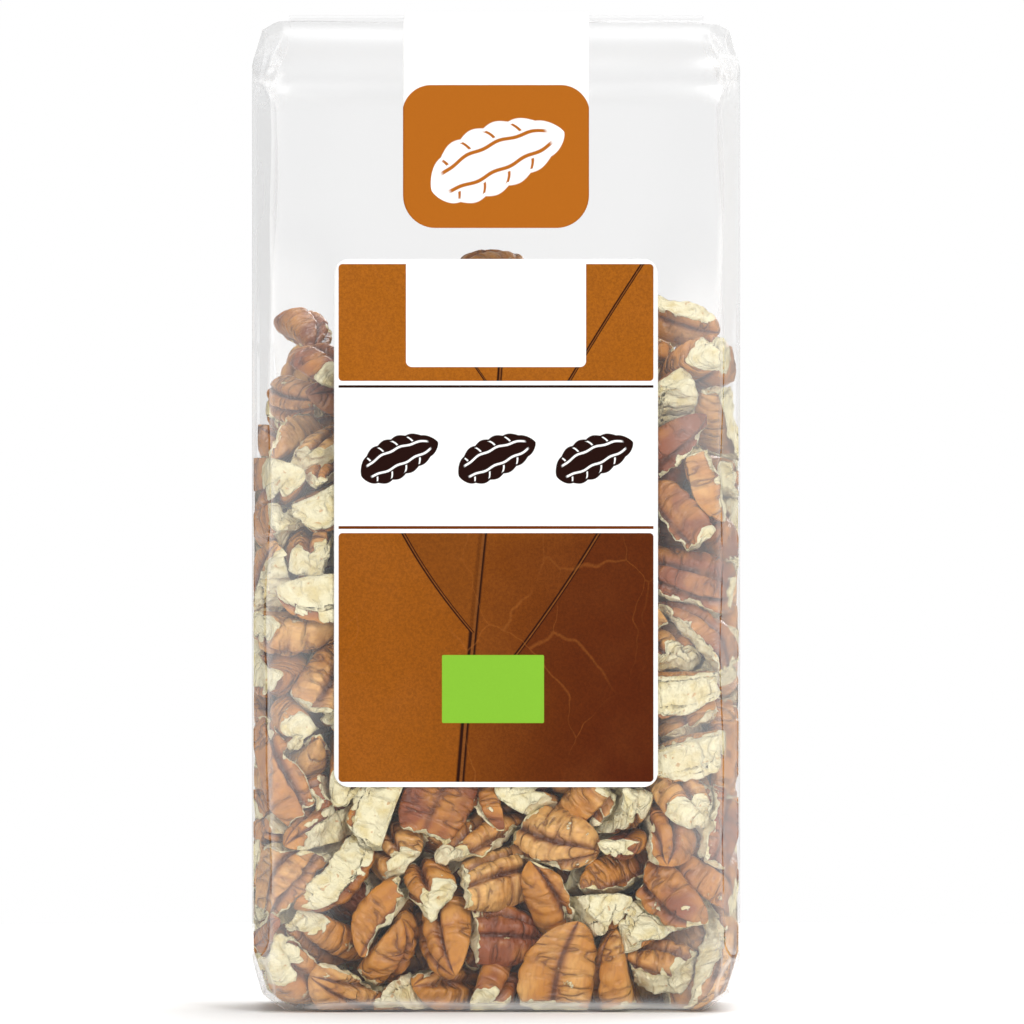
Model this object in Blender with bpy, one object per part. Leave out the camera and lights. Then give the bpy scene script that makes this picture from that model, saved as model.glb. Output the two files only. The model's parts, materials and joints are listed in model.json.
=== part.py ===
"""A clear film packet of broken pecan kernels, standing upright.

One film tube makes the bag: a flat base, four walls with rounded edges, a shoulder, and a top
that is gathered to a slit, whose two layers fold back over the top as a flap. A paper closure
label runs from the front over the flap to the back, and a larger paper label sits on the front.
Inside are the settled pecan pieces, as one bulk solid, and the loose pieces on top of the heap,
each a solid of its own that is lowered until it rests on what lies below it.

Metres, +Z up, the front faces -Y, and the origin is the middle of the base.
"""

import math

import bmesh
import bpy
import numpy as np
from mathutils import Euler, Matrix, Vector

MM = 0.001

# The bag
BAG_WIDTH = 98.0 * MM
BAG_DEPTH = 60.0 * MM
BODY_HEIGHT = 199.5 * MM  # up to the top panel, under the folded flap
EDGE_POWER = 10.0  # superellipse power of the plan: how tight the upright edges are
OUTLINE_POINTS = 40
FILM = 0.35 * MM
BASE_INSET = 8.0 * MM  # how far the base's flat lies inside the walls
BASE_RISE = 11.0 * MM
SHOULDER_RISE = 11.0 * MM
SHOULDER_INSET_X = 7.0 * MM
SHOULDER_INSET_Y = 11.0 * MM
TOP_CROWN = 0.5 * MM
ARC_STEPS = 5
WALL_STEPS = 6

# The flap: two layers of film with a slit between them, folded to the back
FLAP_HALF_THICKNESS = 0.55 * MM
FLAP_FOLD_RADIUS = 1.0 * MM
FLAP_LENGTH = 20.0 * MM
FOLD_STEPS = 4

# Paper labels
PAPER = 0.35 * MM
GAP = 0.3 * MM
SLACK = 0.1 * MM  # extra clearance where the closure label bends
FRONT_LABEL_WIDTH = 64.8 * MM
FRONT_LABEL_BOTTOM = 45.2 * MM
FRONT_LABEL_TOP = 150.8 * MM
FRONT_LABEL_CORNER = 3.0 * MM
CLOSURE_WIDTH = 37.2 * MM
CLOSURE_BOTTOM = 157.0 * MM
CLOSURE_CORNER = 6.5 * MM
CLOSURE_APPROACH = 4.0 * MM  # from where it leaves the top panel to the flap's fold
CLOSURE_LANDING = 2.0 * MM  # from the fold to where it lies on the flap
CORNER_STEPS = 5

# The pecan pieces
PIECE_COUNT = 54
PIECE_SEED = 11
KERNEL_LENGTH = (22.0 * MM, 30.0 * MM)
KERNEL_WIDTH = (10.5 * MM, 13.5 * MM)
KERNEL_HEIGHT = (7.0 * MM, 9.0 * MM)
KERNEL_RINGS = 6
KERNEL_SIDES = 10
TAPER_POWERS = (2.4, 0.6)  # how late and how bluntly a kernel narrows to its tips
DOME_SHARE = 0.72  # of the kernel's height, above its widest line
DOME_GROOVE = 0.18  # depth of the groove along the dome, as a share of the dome
BELLY_GROOVE = 0.6  # and of the one along the flat side
GROOVE_WIDTH = 0.3  # as a share of half the kernel's width
CROSS_BREAKS = 0.8  # share of the pieces that are broken across
CROSS_BREAK_AT = (0.12, 0.4)  # share of the length from the middle
LONG_BREAKS = 0.65  # share of the pieces that are split along
LONG_BREAK_AT = (0.02, 0.25)  # share of the width from the middle
SAMPLE_STEPS = 14  # points along a triangle's side, closer together than a grid cell
HEAP_LEVEL = 114.0 * MM  # the settled pieces' level in the middle of the bag
HEAP_FALL = 9.0 * MM  # how much lower it is at the side walls
HEAP_BUMP = 0.8 * MM
FILL_CLEARANCE = 0.4 * MM
FILL_RING_STEPS = 7
TRIES = 150  # places tried for each loose piece, of which the lowest is kept
SPREAD = 0.9  # share of the bag's plan in which places are tried
SIDES_UP = {0.0: 0.35, math.pi: 0.25, math.pi / 2: 0.2, -math.pi / 2: 0.2}  # roll and its chance
ROLL_SPREAD, PITCH_SPREAD = 0.25, 0.3  # radians, about lying flat
MOUND_COST = 0.2  # how much a place away from the middle counts against it
CELL = 1.0 * MM  # grid on which pieces are lowered
REST_GAP = 0.35 * MM

COLOURS = {
    "film": (0.93, 0.94, 0.95, 0.25),
    "front_label": (0.47, 0.19, 0.03, 1.0),
    "closure_label": (0.52, 0.2, 0.03, 1.0),
    "kernel_amber": (0.52, 0.26, 0.09, 1.0),
    "kernel_brown": (0.38, 0.16, 0.06, 1.0),
    "kernel_cream": (0.78, 0.66, 0.42, 1.0),
}


def clear_scene():
    for leftover in list(bpy.data.objects):
        bpy.data.objects.remove(leftover)


def material(name, roughness):
    """A Principled material in the part's colour, made once for each name."""
    found = bpy.data.materials.get(name)
    if found:
        return found
    made = bpy.data.materials.new(name)
    made.use_nodes = True
    shader = made.node_tree.nodes["Principled BSDF"]
    shader.inputs["Base Color"].default_value = COLOURS[name]
    shader.inputs["Alpha"].default_value = COLOURS[name][3]
    shader.inputs["Roughness"].default_value = roughness
    shader.inputs["Metallic"].default_value = 0.0
    return made


def finish_object(name, mesh_builder, finish, parent):
    """Writes a bmesh to a named, smooth-shaded object with one material."""
    bmesh.ops.recalc_face_normals(mesh_builder, faces=mesh_builder.faces)
    mesh = bpy.data.meshes.new(name)
    mesh_builder.to_mesh(mesh)
    mesh_builder.free()
    mesh.shade_smooth()
    mesh.set_sharp_from_angle(angle=math.radians(35))
    mesh.materials.append(finish)
    made = bpy.data.objects.new(name, mesh)
    bpy.context.scene.collection.objects.link(made)
    made.parent = parent
    return made


def loft(rings):
    """A closed bmesh through rings of equally many points, with a flat cap at each end."""
    builder = bmesh.new()
    loops = [[builder.verts.new(point) for point in ring] for ring in rings]
    for low, high in zip(loops, loops[1:]):
        count = len(low)
        for i in range(count):
            j = (i + 1) % count
            builder.faces.new((low[i], low[j], high[j], high[i]))
    builder.faces.new(loops[0][::-1])
    builder.faces.new(loops[-1])
    return builder


# ---- the bag's film ----


def plan_outline(half_x, half_y):
    """Superellipse in the plane: flat sides, and rounded edges that hold most of the points."""
    points = []
    for i in range(OUTLINE_POINTS):
        turn = 2 * math.pi * i / OUTLINE_POINTS
        x = math.copysign(abs(math.cos(turn)) ** (2 / EDGE_POWER), math.cos(turn))
        y = math.copysign(abs(math.sin(turn)) ** (2 / EDGE_POWER), math.sin(turn))
        points.append((half_x * x, half_y * y))
    return points


def level_ring(half_x, half_y, z):
    return [Vector((x, y, z)) for x, y in plan_outline(half_x, half_y)]


def folded_ring(half_x, half_thick, lean, along):
    """A ring of the flap: lean turns from upright to lying back, then along runs to the rear."""
    y_middle = FLAP_FOLD_RADIUS * (1 - math.cos(lean)) + along
    z_middle = BODY_HEIGHT + FLAP_FOLD_RADIUS * math.sin(lean)
    ring = []
    for x, across in plan_outline(half_x, half_thick):
        y = y_middle + across * math.cos(lean)
        z = z_middle - across * math.sin(lean)
        ring.append(Vector((x, y, z)))
    return ring


def bag_skin(offset):
    """Rings of the bag's surface, moved inwards by offset, from the base up to the slit's lips."""
    half_x, half_y = BAG_WIDTH / 2, BAG_DEPTH / 2
    rings = []
    for i in range(ARC_STEPS + 1):
        turn = math.pi / 2 * i / ARC_STEPS
        inset = BASE_INSET * (1 - math.sin(turn)) + offset * math.sin(turn)
        z = BASE_RISE * (1 - math.cos(turn)) + offset * math.cos(turn)
        rings.append(level_ring(half_x - inset, half_y - inset, z))
    shoulder = BODY_HEIGHT - TOP_CROWN - SHOULDER_RISE
    for i in range(1, WALL_STEPS):
        z = BASE_RISE + (shoulder - BASE_RISE) * i / WALL_STEPS
        rings.append(level_ring(half_x - offset, half_y - offset, z))
    for i in range(ARC_STEPS + 1):
        turn = math.pi / 2 * i / ARC_STEPS
        out = offset * math.cos(turn)
        x = half_x - SHOULDER_INSET_X * (1 - math.cos(turn)) - out
        y = half_y - SHOULDER_INSET_Y * (1 - math.cos(turn)) - out
        z = shoulder + SHOULDER_RISE * math.sin(turn) - offset * math.sin(turn)
        rings.append(level_ring(x, y, z))
    neck_x = half_x - SHOULDER_INSET_X - offset
    neck_y = FLAP_HALF_THICKNESS - offset
    top_y = half_y - SHOULDER_INSET_Y
    for share in (0.5, 1.0):
        y = top_y + (neck_y - top_y) * share
        x = half_x - SHOULDER_INSET_X - offset * share
        z = BODY_HEIGHT - TOP_CROWN * (1 - share) - offset
        rings.append(level_ring(x, y, z))
    for i in range(FOLD_STEPS + 1):
        lean = math.pi / 2 * i / FOLD_STEPS
        rings.append(folded_ring(neck_x, neck_y, lean, 0.0))
    rings.append(folded_ring(neck_x, neck_y, math.pi / 2, FLAP_LENGTH))
    return rings


def make_film_bag(parent):
    """Outer skin up to the lips of the slit, then the inner skin back down to the base."""
    rings = bag_skin(0.0) + bag_skin(FILM)[::-1]
    return finish_object("film_bag", loft(rings), material("film", 0.15), parent)


# ---- the paper labels ----


def rounded_half_width(width, corner, from_end):
    """Half the label's width at a distance from its end, where its corners are round."""
    if from_end >= corner:
        return width / 2
    drop = corner - math.sqrt(max(0.0, corner**2 - (corner - from_end) ** 2))
    return width / 2 - drop


def corner_distances(corner):
    """Distances from a label's end that follow its round corner, nearest first."""
    turns = [math.pi / 2 * i / CORNER_STEPS for i in range(CORNER_STEPS + 1)]
    return [corner * (1 - math.cos(turn)) for turn in turns]


def paper_strip(name, path, width, corner, finish, parent):
    """A paper of even thickness on a path of (y, z) points, whose outward side is on the left.

    Each row across is a ring of four points: the two glued corners and the two outer ones.
    """
    points = np.array(path)
    steps = np.linalg.norm(np.diff(points, axis=0), axis=1)
    run = np.concatenate([[0.0], np.cumsum(steps)])
    ends = corner_distances(corner)
    stops = np.unique(np.round(np.concatenate([ends, run[-1] - np.array(ends), run]), 7))
    stops = stops[(stops >= 0) & (stops <= run[-1])]
    rings = []
    for stop in stops:
        y, z = (np.interp(stop, run, points[:, axis]) for axis in (0, 1))
        before, after = max(stop - PAPER, 0.0), min(stop + PAPER, run[-1])
        ahead, behind = ([np.interp(at, run, points[:, k]) for k in (0, 1)] for at in (after, before))
        slope = np.subtract(ahead, behind)
        slope /= np.linalg.norm(slope)
        out_y, out_z = -slope[1] * PAPER, slope[0] * PAPER
        half = rounded_half_width(width, corner, min(stop, run[-1] - stop))
        rings.append(
            [
                Vector((-half, y, z)),
                Vector((half, y, z)),
                Vector((half, y + out_y, z + out_z)),
                Vector((-half, y + out_y, z + out_z)),
            ]
        )
    return finish_object(name, loft(rings), finish, parent)


def make_front_label(parent):
    y = -(BAG_DEPTH / 2 + GAP)
    path = [(y, FRONT_LABEL_BOTTOM), (y, FRONT_LABEL_TOP)]
    finish = material("front_label", 0.6)
    return paper_strip("front_label", path, FRONT_LABEL_WIDTH, FRONT_LABEL_CORNER, finish, parent)


def shoulder_point(turn, side):
    """A point one gap off the bag's shoulder: turn 0 at the wall, a quarter turn at the top."""
    shoulder = BODY_HEIGHT - TOP_CROWN - SHOULDER_RISE
    y = BAG_DEPTH / 2 - SHOULDER_INSET_Y * (1 - math.cos(turn)) + GAP * math.cos(turn)
    z = shoulder + SHOULDER_RISE * math.sin(turn) + GAP * math.sin(turn)
    return (side * y, z)


def make_closure_label(parent):
    """Up the front, over the shoulder, the slit's fold and the flap, and down the back."""
    wall = BAG_DEPTH / 2 + GAP
    front_turns = [math.pi / 2 * i / ARC_STEPS for i in range(ARC_STEPS + 1)]
    flap_top = BODY_HEIGHT + FLAP_FOLD_RADIUS + FLAP_HALF_THICKNESS + GAP
    fold_front = -(FLAP_HALF_THICKNESS + GAP)
    flap_end = FLAP_LENGTH + FLAP_FOLD_RADIUS
    path = [(-wall, CLOSURE_BOTTOM)]
    path += [shoulder_point(turn, -1) for turn in front_turns]
    path += [(fold_front - CLOSURE_APPROACH, BODY_HEIGHT + GAP + SLACK)]
    path += [(fold_front, BODY_HEIGHT + FLAP_FOLD_RADIUS + GAP + SLACK)]
    path += [(fold_front + CLOSURE_LANDING, flap_top + SLACK), (flap_end, flap_top)]
    path += [(flap_end + 2 * GAP, flap_top - SLACK)]
    path += [shoulder_point(turn, 1) for turn in front_turns[2::-1]]
    path += [(wall, CLOSURE_BOTTOM)]
    finish = material("closure_label", 0.6)
    return paper_strip("closure_label", path, CLOSURE_WIDTH, CLOSURE_CORNER, finish, parent)


# ---- the pecan pieces ----


def heap_level(x, y):
    """Height of the settled pieces: a low mound across the bag's width, with soft bumps."""
    mound = HEAP_LEVEL - HEAP_FALL * (2 * x / BAG_WIDTH) ** 2
    bumps = HEAP_BUMP * np.sin(x / (7.0 * MM)) * np.cos(y / (6.0 * MM))
    return mound + bumps


def make_fill(parent):
    """The settled pieces as one bulk solid, a little clear of the film all round."""
    inset = FILM + FILL_CLEARANCE
    half_x, half_y = BAG_WIDTH / 2 - inset, BAG_DEPTH / 2 - inset
    rings = []
    for i in range(ARC_STEPS + 1):
        turn = math.pi / 2 * i / ARC_STEPS
        tuck = BASE_INSET * (1 - math.sin(turn))
        z = BASE_RISE * (1 - math.cos(turn)) + inset
        rings.append(level_ring(half_x - tuck, half_y - tuck, z))
    for i in range(FILL_RING_STEPS):
        share = 1 - i / FILL_RING_STEPS
        outline = plan_outline(half_x * share, half_y * share)
        rings.append([Vector((x, y, heap_level(x, y))) for x, y in outline])
    builder = loft(rings)
    bmesh.ops.triangulate(builder, faces=builder.faces)
    return finish_object("pecan_fill", builder, material("kernel_brown", 0.55), parent)


def kernel_section(turn):
    """(across, up) of half a kernel's section: a ridged dome above, a grooved flat below."""
    across, rise = math.cos(turn), math.sin(turn)
    groove = math.exp(-((across / GROOVE_WIDTH) ** 2))
    if rise >= 0:
        return across, DOME_SHARE * rise * (1 - DOME_GROOVE * groove)
    return across, (1 - DOME_SHARE) * rise * (1 - BELLY_GROOVE * groove)


def kernel(length, width, height):
    """Half a pecan kernel about its own middle, long along X, its dome towards +Z."""
    builder = bmesh.new()
    loops = []
    for i in range(KERNEL_RINGS):
        reach = -math.cos(math.pi * (i + 0.5) / KERNEL_RINGS)
        taper = (1 - abs(reach) ** TAPER_POWERS[0]) ** TAPER_POWERS[1]
        loop = []
        for j in range(KERNEL_SIDES):
            across, up = kernel_section(2 * math.pi * j / KERNEL_SIDES)
            point = (reach * length / 2, across * taper * width / 2, up * taper * height)
            loop.append(builder.verts.new(point))
        loops.append(loop)
    for low, high in zip(loops, loops[1:]):
        for j in range(KERNEL_SIDES):
            k = (j + 1) % KERNEL_SIDES
            builder.faces.new((low[j], low[k], high[k], high[j]))
    for loop, side in ((loops[0], -1), (loops[-1], 1)):
        tip = builder.verts.new((side * length / 2, 0, 0))
        for j in range(KERNEL_SIDES):
            builder.faces.new((loop[j], loop[(j + 1) % KERNEL_SIDES], tip))
    return builder


def break_off(builder, point, normal):
    """Breaks the kernel at a plane and closes the broken face. The side of the normal is lost."""
    everything = builder.verts[:] + builder.edges[:] + builder.faces[:]
    bmesh.ops.bisect_plane(
        builder, geom=everything, dist=1e-6, plane_co=point, plane_no=normal, clear_outer=True
    )
    rim = [edge for edge in builder.edges if edge.is_boundary]
    bmesh.ops.holes_fill(builder, edges=rim, sides=0)


def pecan_piece(rng):
    """A kernel broken across, along, or both, centred on its own middle."""
    length, width, height = (rng.uniform(*span) for span in (KERNEL_LENGTH, KERNEL_WIDTH, KERNEL_HEIGHT))
    builder = kernel(length, width, height)
    if rng.random() < CROSS_BREAKS:
        lean = Vector((1, rng.uniform(-0.35, 0.35), rng.uniform(-0.3, 0.3)))
        break_off(builder, Vector((length * rng.uniform(*CROSS_BREAK_AT), 0, 0)), lean.normalized())
    if rng.random() < LONG_BREAKS:
        lean = Vector((rng.uniform(-0.15, 0.15), 1, rng.uniform(-0.35, 0.35)))
        break_off(builder, Vector((0, width * rng.uniform(*LONG_BREAK_AT), 0)), lean.normalized())
    bmesh.ops.triangulate(builder, faces=builder.faces)
    low, high = (Vector(map(pick, zip(*(v.co for v in builder.verts)))) for pick in (min, max))
    bmesh.ops.translate(builder, verts=builder.verts, vec=-(low + high) / 2)
    return builder


def surface_samples(builder):
    """Points spread over every triangle."""
    corners = np.array([[vert.co[:] for vert in face.verts] for face in builder.faces])
    last = SAMPLE_STEPS
    share = [(i / last, j / last) for i in range(last + 1) for j in range(last + 1 - i)]
    first, second = np.array(share).T
    weights = np.stack([first, second, 1 - first - second], axis=1)
    return np.einsum("sk,fkd->fsd", weights, corners).reshape(-1, 3)


class Heap:
    """The height of the heap on a grid, which grows as pieces are lowered onto it."""

    def __init__(self):
        self.half = np.array([BAG_WIDTH / 2, BAG_DEPTH / 2]) - FILM - FILL_CLEARANCE
        self.size = np.ceil(2 * self.half / CELL).astype(int) + 2
        x, y = (np.arange(self.size[k]) * CELL - self.half[k] for k in (0, 1))
        self.height = heap_level(x[:, None], y[None, :]) + REST_GAP

    def holds(self, points):
        """True if every point lies inside the walls' rounded outline."""
        share = np.abs(points[:, :2]) / self.half
        return bool(((share**EDGE_POWER).sum(axis=1) < 1).all())

    def cells(self, points):
        index = np.round((points[:, :2] + self.half) / CELL).astype(int)
        return index[:, 0] * self.size[1] + index[:, 1]

    def rest(self, points):
        """How far up the points go for the lowest place where none is inside the heap."""
        padded = np.pad(self.height, 1, mode="edge")
        spans = [padded[i : i + self.size[0], j : j + self.size[1]] for i in range(3) for j in range(3)]
        near = np.max(spans, axis=0).ravel()
        return float((near[self.cells(points)] - points[:, 2]).max()) + REST_GAP

    def add(self, points):
        flat = self.height.ravel()
        np.maximum.at(flat, self.cells(points), points[:, 2])
        self.height = flat.reshape(self.size)


def piece_pose(rng):
    """A place in the plan and a turn: mostly lying flat, now and then leaning on its neighbours."""
    spread = np.array([BAG_WIDTH, BAG_DEPTH]) / 2 * SPREAD
    x, y = rng.uniform(-1, 1, 2) * spread
    side_up = rng.choice(list(SIDES_UP), p=list(SIDES_UP.values()))
    roll = side_up + rng.normal(0, ROLL_SPREAD)
    pitch = rng.normal(0, PITCH_SPREAD)
    yaw = rng.uniform(-math.pi, math.pi)
    return x, y, Euler((roll, pitch, yaw), "XYZ").to_matrix()


def lay_piece(builder, heap, rng):
    """The matrix of the lowest of several tried places, towards the bag's middle if alike."""
    samples = surface_samples(builder)
    best = None
    while best is None:
        for _ in range(TRIES):
            x, y, turn = piece_pose(rng)
            points = samples @ np.array(turn).T + (x, y, 0.0)
            if not heap.holds(points):
                continue
            lift = heap.rest(points)
            cost = lift + MOUND_COST * abs(x)
            if best is None or cost < best[0]:
                best = (cost, Matrix.Translation((x, y, lift)) @ turn.to_4x4(), points + (0, 0, lift))
    heap.add(best[2])
    return best[1]


def make_pieces(parent):
    """The loose pieces, one object each, every one placed where it comes to rest."""
    rng = np.random.default_rng(PIECE_SEED)
    heap = Heap()
    finishes = [material("kernel_amber", 0.5), material("kernel_brown", 0.5), material("kernel_cream", 0.7)]
    for number in range(1, PIECE_COUNT + 1):
        builder = pecan_piece(rng)
        place = lay_piece(builder, heap, rng)
        finish = finishes[number % len(finishes)]
        piece = finish_object(f"pecan_piece_{number:02d}", builder, finish, parent)
        piece.matrix_world = place


def build():
    clear_scene()
    packet = bpy.data.objects.new("packet", None)
    bpy.context.scene.collection.objects.link(packet)
    make_film_bag(packet)
    make_front_label(packet)
    make_closure_label(packet)
    make_fill(packet)
    make_pieces(packet)


build()
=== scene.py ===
import json
import math

import bpy
import numpy as np
from mathutils import Matrix, Vector

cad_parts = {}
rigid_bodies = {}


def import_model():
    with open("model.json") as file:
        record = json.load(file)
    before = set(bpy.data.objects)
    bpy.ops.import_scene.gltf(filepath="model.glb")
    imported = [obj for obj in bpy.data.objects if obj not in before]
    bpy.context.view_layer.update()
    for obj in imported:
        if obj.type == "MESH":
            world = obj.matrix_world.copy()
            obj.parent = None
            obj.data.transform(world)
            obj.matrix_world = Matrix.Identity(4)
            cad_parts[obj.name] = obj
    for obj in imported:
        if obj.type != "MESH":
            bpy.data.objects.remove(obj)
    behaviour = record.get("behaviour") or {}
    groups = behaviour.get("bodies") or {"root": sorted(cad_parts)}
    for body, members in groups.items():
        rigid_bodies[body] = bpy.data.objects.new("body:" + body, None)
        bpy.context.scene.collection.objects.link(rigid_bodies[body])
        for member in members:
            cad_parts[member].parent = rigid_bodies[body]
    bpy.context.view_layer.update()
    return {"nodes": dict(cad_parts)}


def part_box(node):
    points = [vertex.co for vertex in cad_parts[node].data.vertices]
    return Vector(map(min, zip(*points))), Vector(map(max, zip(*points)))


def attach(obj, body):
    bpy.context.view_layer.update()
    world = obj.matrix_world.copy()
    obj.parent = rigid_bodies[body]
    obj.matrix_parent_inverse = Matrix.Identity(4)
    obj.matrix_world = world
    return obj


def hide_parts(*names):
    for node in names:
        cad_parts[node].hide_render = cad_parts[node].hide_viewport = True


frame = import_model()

# A clear film packet of broken pecan kernels, with a front label and a closure label.
# Metres, and the front faces -Y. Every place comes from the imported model's boxes.
mm = 0.001
bagLow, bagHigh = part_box("film_bag")
frontLow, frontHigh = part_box("front_label")
closureLow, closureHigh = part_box("closure_label")
halfWide, halfDeep = bagHigh.x, -bagLow.y
print("frame: the bag is", round(halfWide * 2000), "by", round(halfDeep * 2000), "mm")

studio = {
    "distance": 2.4,  # from the packet's front to the camera
    "fieldWidth": 204.8 * mm,  # what the view takes in at the packet's front
    "aimAcross": 3.2 * mm,
    "aimUp": 100.2 * mm,
    "room": 0.42,  # brightness of the room as the film and the nuts see it
    "roomColour": (1.0, 0.995, 0.98, 1),
    "lamps": (  # name, place, size and power
        ("keyLamp", (0.6, -1.45, 0.8), 0.6, 13.5),
        ("fillLamp", (-0.9, -1.3, 0.3), 0.8, 6),
        ("topLamp", (0.1, 0.15, 1.3), 0.9, 11),
        ("backLamp", (0.4, 1.3, 0.7), 0.8, 9),
    ),
    "lampsAim": (0, 0, 0.1),
    "floorRadius": 0.5,
    "floorRim": 4 * mm,
    "floorPale": (0.93, 0.93, 0.93, 1),
    "floorWhite": (0.95, 0.95, 0.95, 1),
}


def makeCamera():
    data = bpy.data.cameras.new("camera")
    data.lens = data.sensor_width * studio["distance"] / studio["fieldWidth"]
    data.clip_start = 0.05
    data.clip_end = 50
    camera = bpy.data.objects.new("camera", data)
    bpy.context.scene.collection.objects.link(camera)
    camera.location = (studio["aimAcross"], -halfDeep - studio["distance"], studio["aimUp"])
    camera.rotation_euler = (math.pi / 2, 0, 0)
    bpy.context.scene.camera = camera


def makeLamp(name, place, size, power):
    data = bpy.data.lights.new(name, "AREA")
    data.shape = "DISK"
    data.size = size
    data.energy = power
    lamp = bpy.data.objects.new(name, data)
    bpy.context.scene.collection.objects.link(lamp)
    lamp.location = place
    aim = Vector(studio["lampsAim"]) - Vector(place)
    lamp.rotation_euler = aim.to_track_quat("-Z", "Y").to_euler()


makeCamera()
for lamp in studio["lamps"]:
    makeLamp(*lamp)
bpy.context.scene.view_settings.view_transform = "Standard"


def newPiece(name, points, faces, material, attributes=None, corners=None):
    # a closed mesh from arrays; corners holds a flat (u, v) for each corner of each face
    mesh = bpy.data.meshes.new(name)
    mesh.from_pydata(points, [], faces)
    if corners is not None:
        layer = mesh.uv_layers.new(name="OFBake")
        layer.data.foreach_set("uv", np.asarray(corners, np.float32).ravel())
    for label, values in (attributes or {}).items():
        values = np.asarray(values, np.float32)
        if values.ndim == 2:
            mesh.attributes.new(label, "FLOAT_VECTOR", "POINT").data.foreach_set("vector", values.ravel())
        else:
            mesh.attributes.new(label, "FLOAT", "POINT").data.foreach_set("value", values)
    mesh.update()
    mesh.shade_smooth()
    mesh.materials.append(material)
    piece = bpy.data.objects.new(name, mesh)
    bpy.context.scene.collection.objects.link(piece)
    return piece


def tubeFaces(rings, sides):
    # quads between rings of equally many points, then a fan to a tip at each end
    i, j = np.meshgrid(np.arange(rings - 1), np.arange(sides), indexing="ij")
    here, beside = i * sides + j, i * sides + (j + 1) % sides
    quads = np.stack([here, beside, beside + sides, here + sides], axis=-1).reshape(-1, 4)
    j = np.arange(sides)
    after = (j + 1) % sides
    last = (rings - 1) * sides
    first = np.stack([after, j, np.full(sides, rings * sides)], axis=-1)
    final = np.stack([last + j, last + after, np.full(sides, rings * sides + 1)], axis=-1)
    return quads, np.concatenate([first, final])


def tubeCorners(rings, sides):
    # the same faces laid flat: u runs along the tube and v around it, both from 0 to 1
    i, j = np.meshgrid(np.arange(rings - 1), np.arange(sides), indexing="ij")
    along = np.stack([i + 1, i + 1, i + 2, i + 2], axis=-1).ravel()
    around = np.stack([j, j + 1, j + 1, j], axis=-1).ravel()
    j = np.arange(sides)
    end = np.zeros(sides)
    alongEnds = np.concatenate([np.stack([end + 1, end + 1, end], axis=-1),
                                np.stack([end + rings, end + rings, end + rings + 1], axis=-1)])
    aroundEnds = np.concatenate([np.stack([j + 1, j, j + 0.5], axis=-1),
                                 np.stack([j, j + 1, j + 0.5], axis=-1)])
    u = np.concatenate([along, alongEnds.ravel()]) / (rings + 1)
    v = np.concatenate([around, aroundEnds.ravel()]) / sides
    return np.stack([u, v], axis=-1)


def waves(places, seed, period, count=7):
    # smooth noise of about -1 to 1: a sum of plane waves with random headings and phases
    rng = np.random.default_rng(seed)
    heading = rng.normal(size=(count, places.shape[-1]))
    heading /= np.linalg.norm(heading, axis=1, keepdims=True)
    pace = 2 * math.pi / (period * rng.uniform(0.7, 1.5, count))
    phase = rng.uniform(0, 2 * math.pi, count)
    return np.sin(places @ (heading * pace[:, None]).T + phase).sum(axis=-1) * 0.8 / math.sqrt(count)


class Signal:
    # a number, vector or colour inside a material: + - * / ** and abs() each add one Math node
    def __init__(self, socket):
        self.socket = socket

    def __add__(self, other):
        return maths("ADD", self, other)

    def __sub__(self, other):
        return maths("SUBTRACT", self, other)

    def __rsub__(self, other):
        return maths("SUBTRACT", other, self)

    def __mul__(self, other):
        return maths("MULTIPLY", self, other)

    def __truediv__(self, other):
        return maths("DIVIDE", self, other)

    def __pow__(self, other):
        return maths("POWER", self, other)

    def __abs__(self):
        return maths("ABSOLUTE", self)


def node(tree, kind, inputs=None, **settings):
    # a new node; an input is a value, or a signal to link
    made = tree.nodes.new("ShaderNode" + kind)
    for name, value in settings.items():
        setattr(made, name, value)
    for key, value in (inputs or {}).items():
        if isinstance(value, Signal):
            tree.links.new(value.socket, made.inputs[key])
        else:
            made.inputs[key].default_value = value
    return made


def treeOf(signal):
    return signal.socket.id_data


def maths(operation, first, second=0.0):
    tree = treeOf(first if isinstance(first, Signal) else second)
    return Signal(node(tree, "Math", {0: first, 1: second}, operation=operation).outputs[0])


def larger(first, second):
    return maths("MAXIMUM", first, second)


def sine(angle):
    return maths("SINE", angle)


def scaled(vector, factors):
    made = node(treeOf(vector), "VectorMath", {0: vector, 1: factors}, operation="MULTIPLY")
    return Signal(made.outputs[0])


def parted(vector):
    return [Signal(output) for output in node(treeOf(vector), "SeparateXYZ", {0: vector}).outputs]


def ramp(value, low, high, start=0.0, end=1.0):
    # a smooth step from start to end while the value goes from low to high
    inputs = {"Value": value, "From Min": low, "From Max": high, "To Min": start, "To Max": end}
    return Signal(node(treeOf(value), "MapRange", inputs, interpolation_type="SMOOTHSTEP").outputs[0])


def blend(share, first, second, mode="MIX"):
    inputs = {0: share, 6: first, 7: second}
    tree = treeOf(share if isinstance(share, Signal) else first)
    return Signal(node(tree, "Mix", inputs, data_type="RGBA", blend_type=mode).outputs[2])


def noise(vector, scale, detail=3.0, roughness=0.55, output="Fac"):
    inputs = {"Vector": vector, "Scale": scale, "Detail": detail, "Roughness": roughness}
    return Signal(node(treeOf(vector), "TexNoise", inputs).outputs[output])


def cellEdge(vector, scale):
    inputs = {"Vector": vector, "Scale": scale}
    made = node(treeOf(vector), "TexVoronoi", inputs, feature="DISTANCE_TO_EDGE")
    return Signal(made.outputs["Distance"])


def bumped(height, strength, distance):
    inputs = {"Height": height, "Strength": strength, "Distance": distance}
    return Signal(node(treeOf(height), "Bump", inputs).outputs[0])


def newMaterial(name):
    # a material, its tree, its shader, and the place on the object
    material = bpy.data.materials.new(name)
    material.use_nodes = True
    tree = material.node_tree
    place = Signal(node(tree, "TexCoord").outputs["Object"])
    return material, tree, tree.nodes["Principled BSDF"], place


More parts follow.
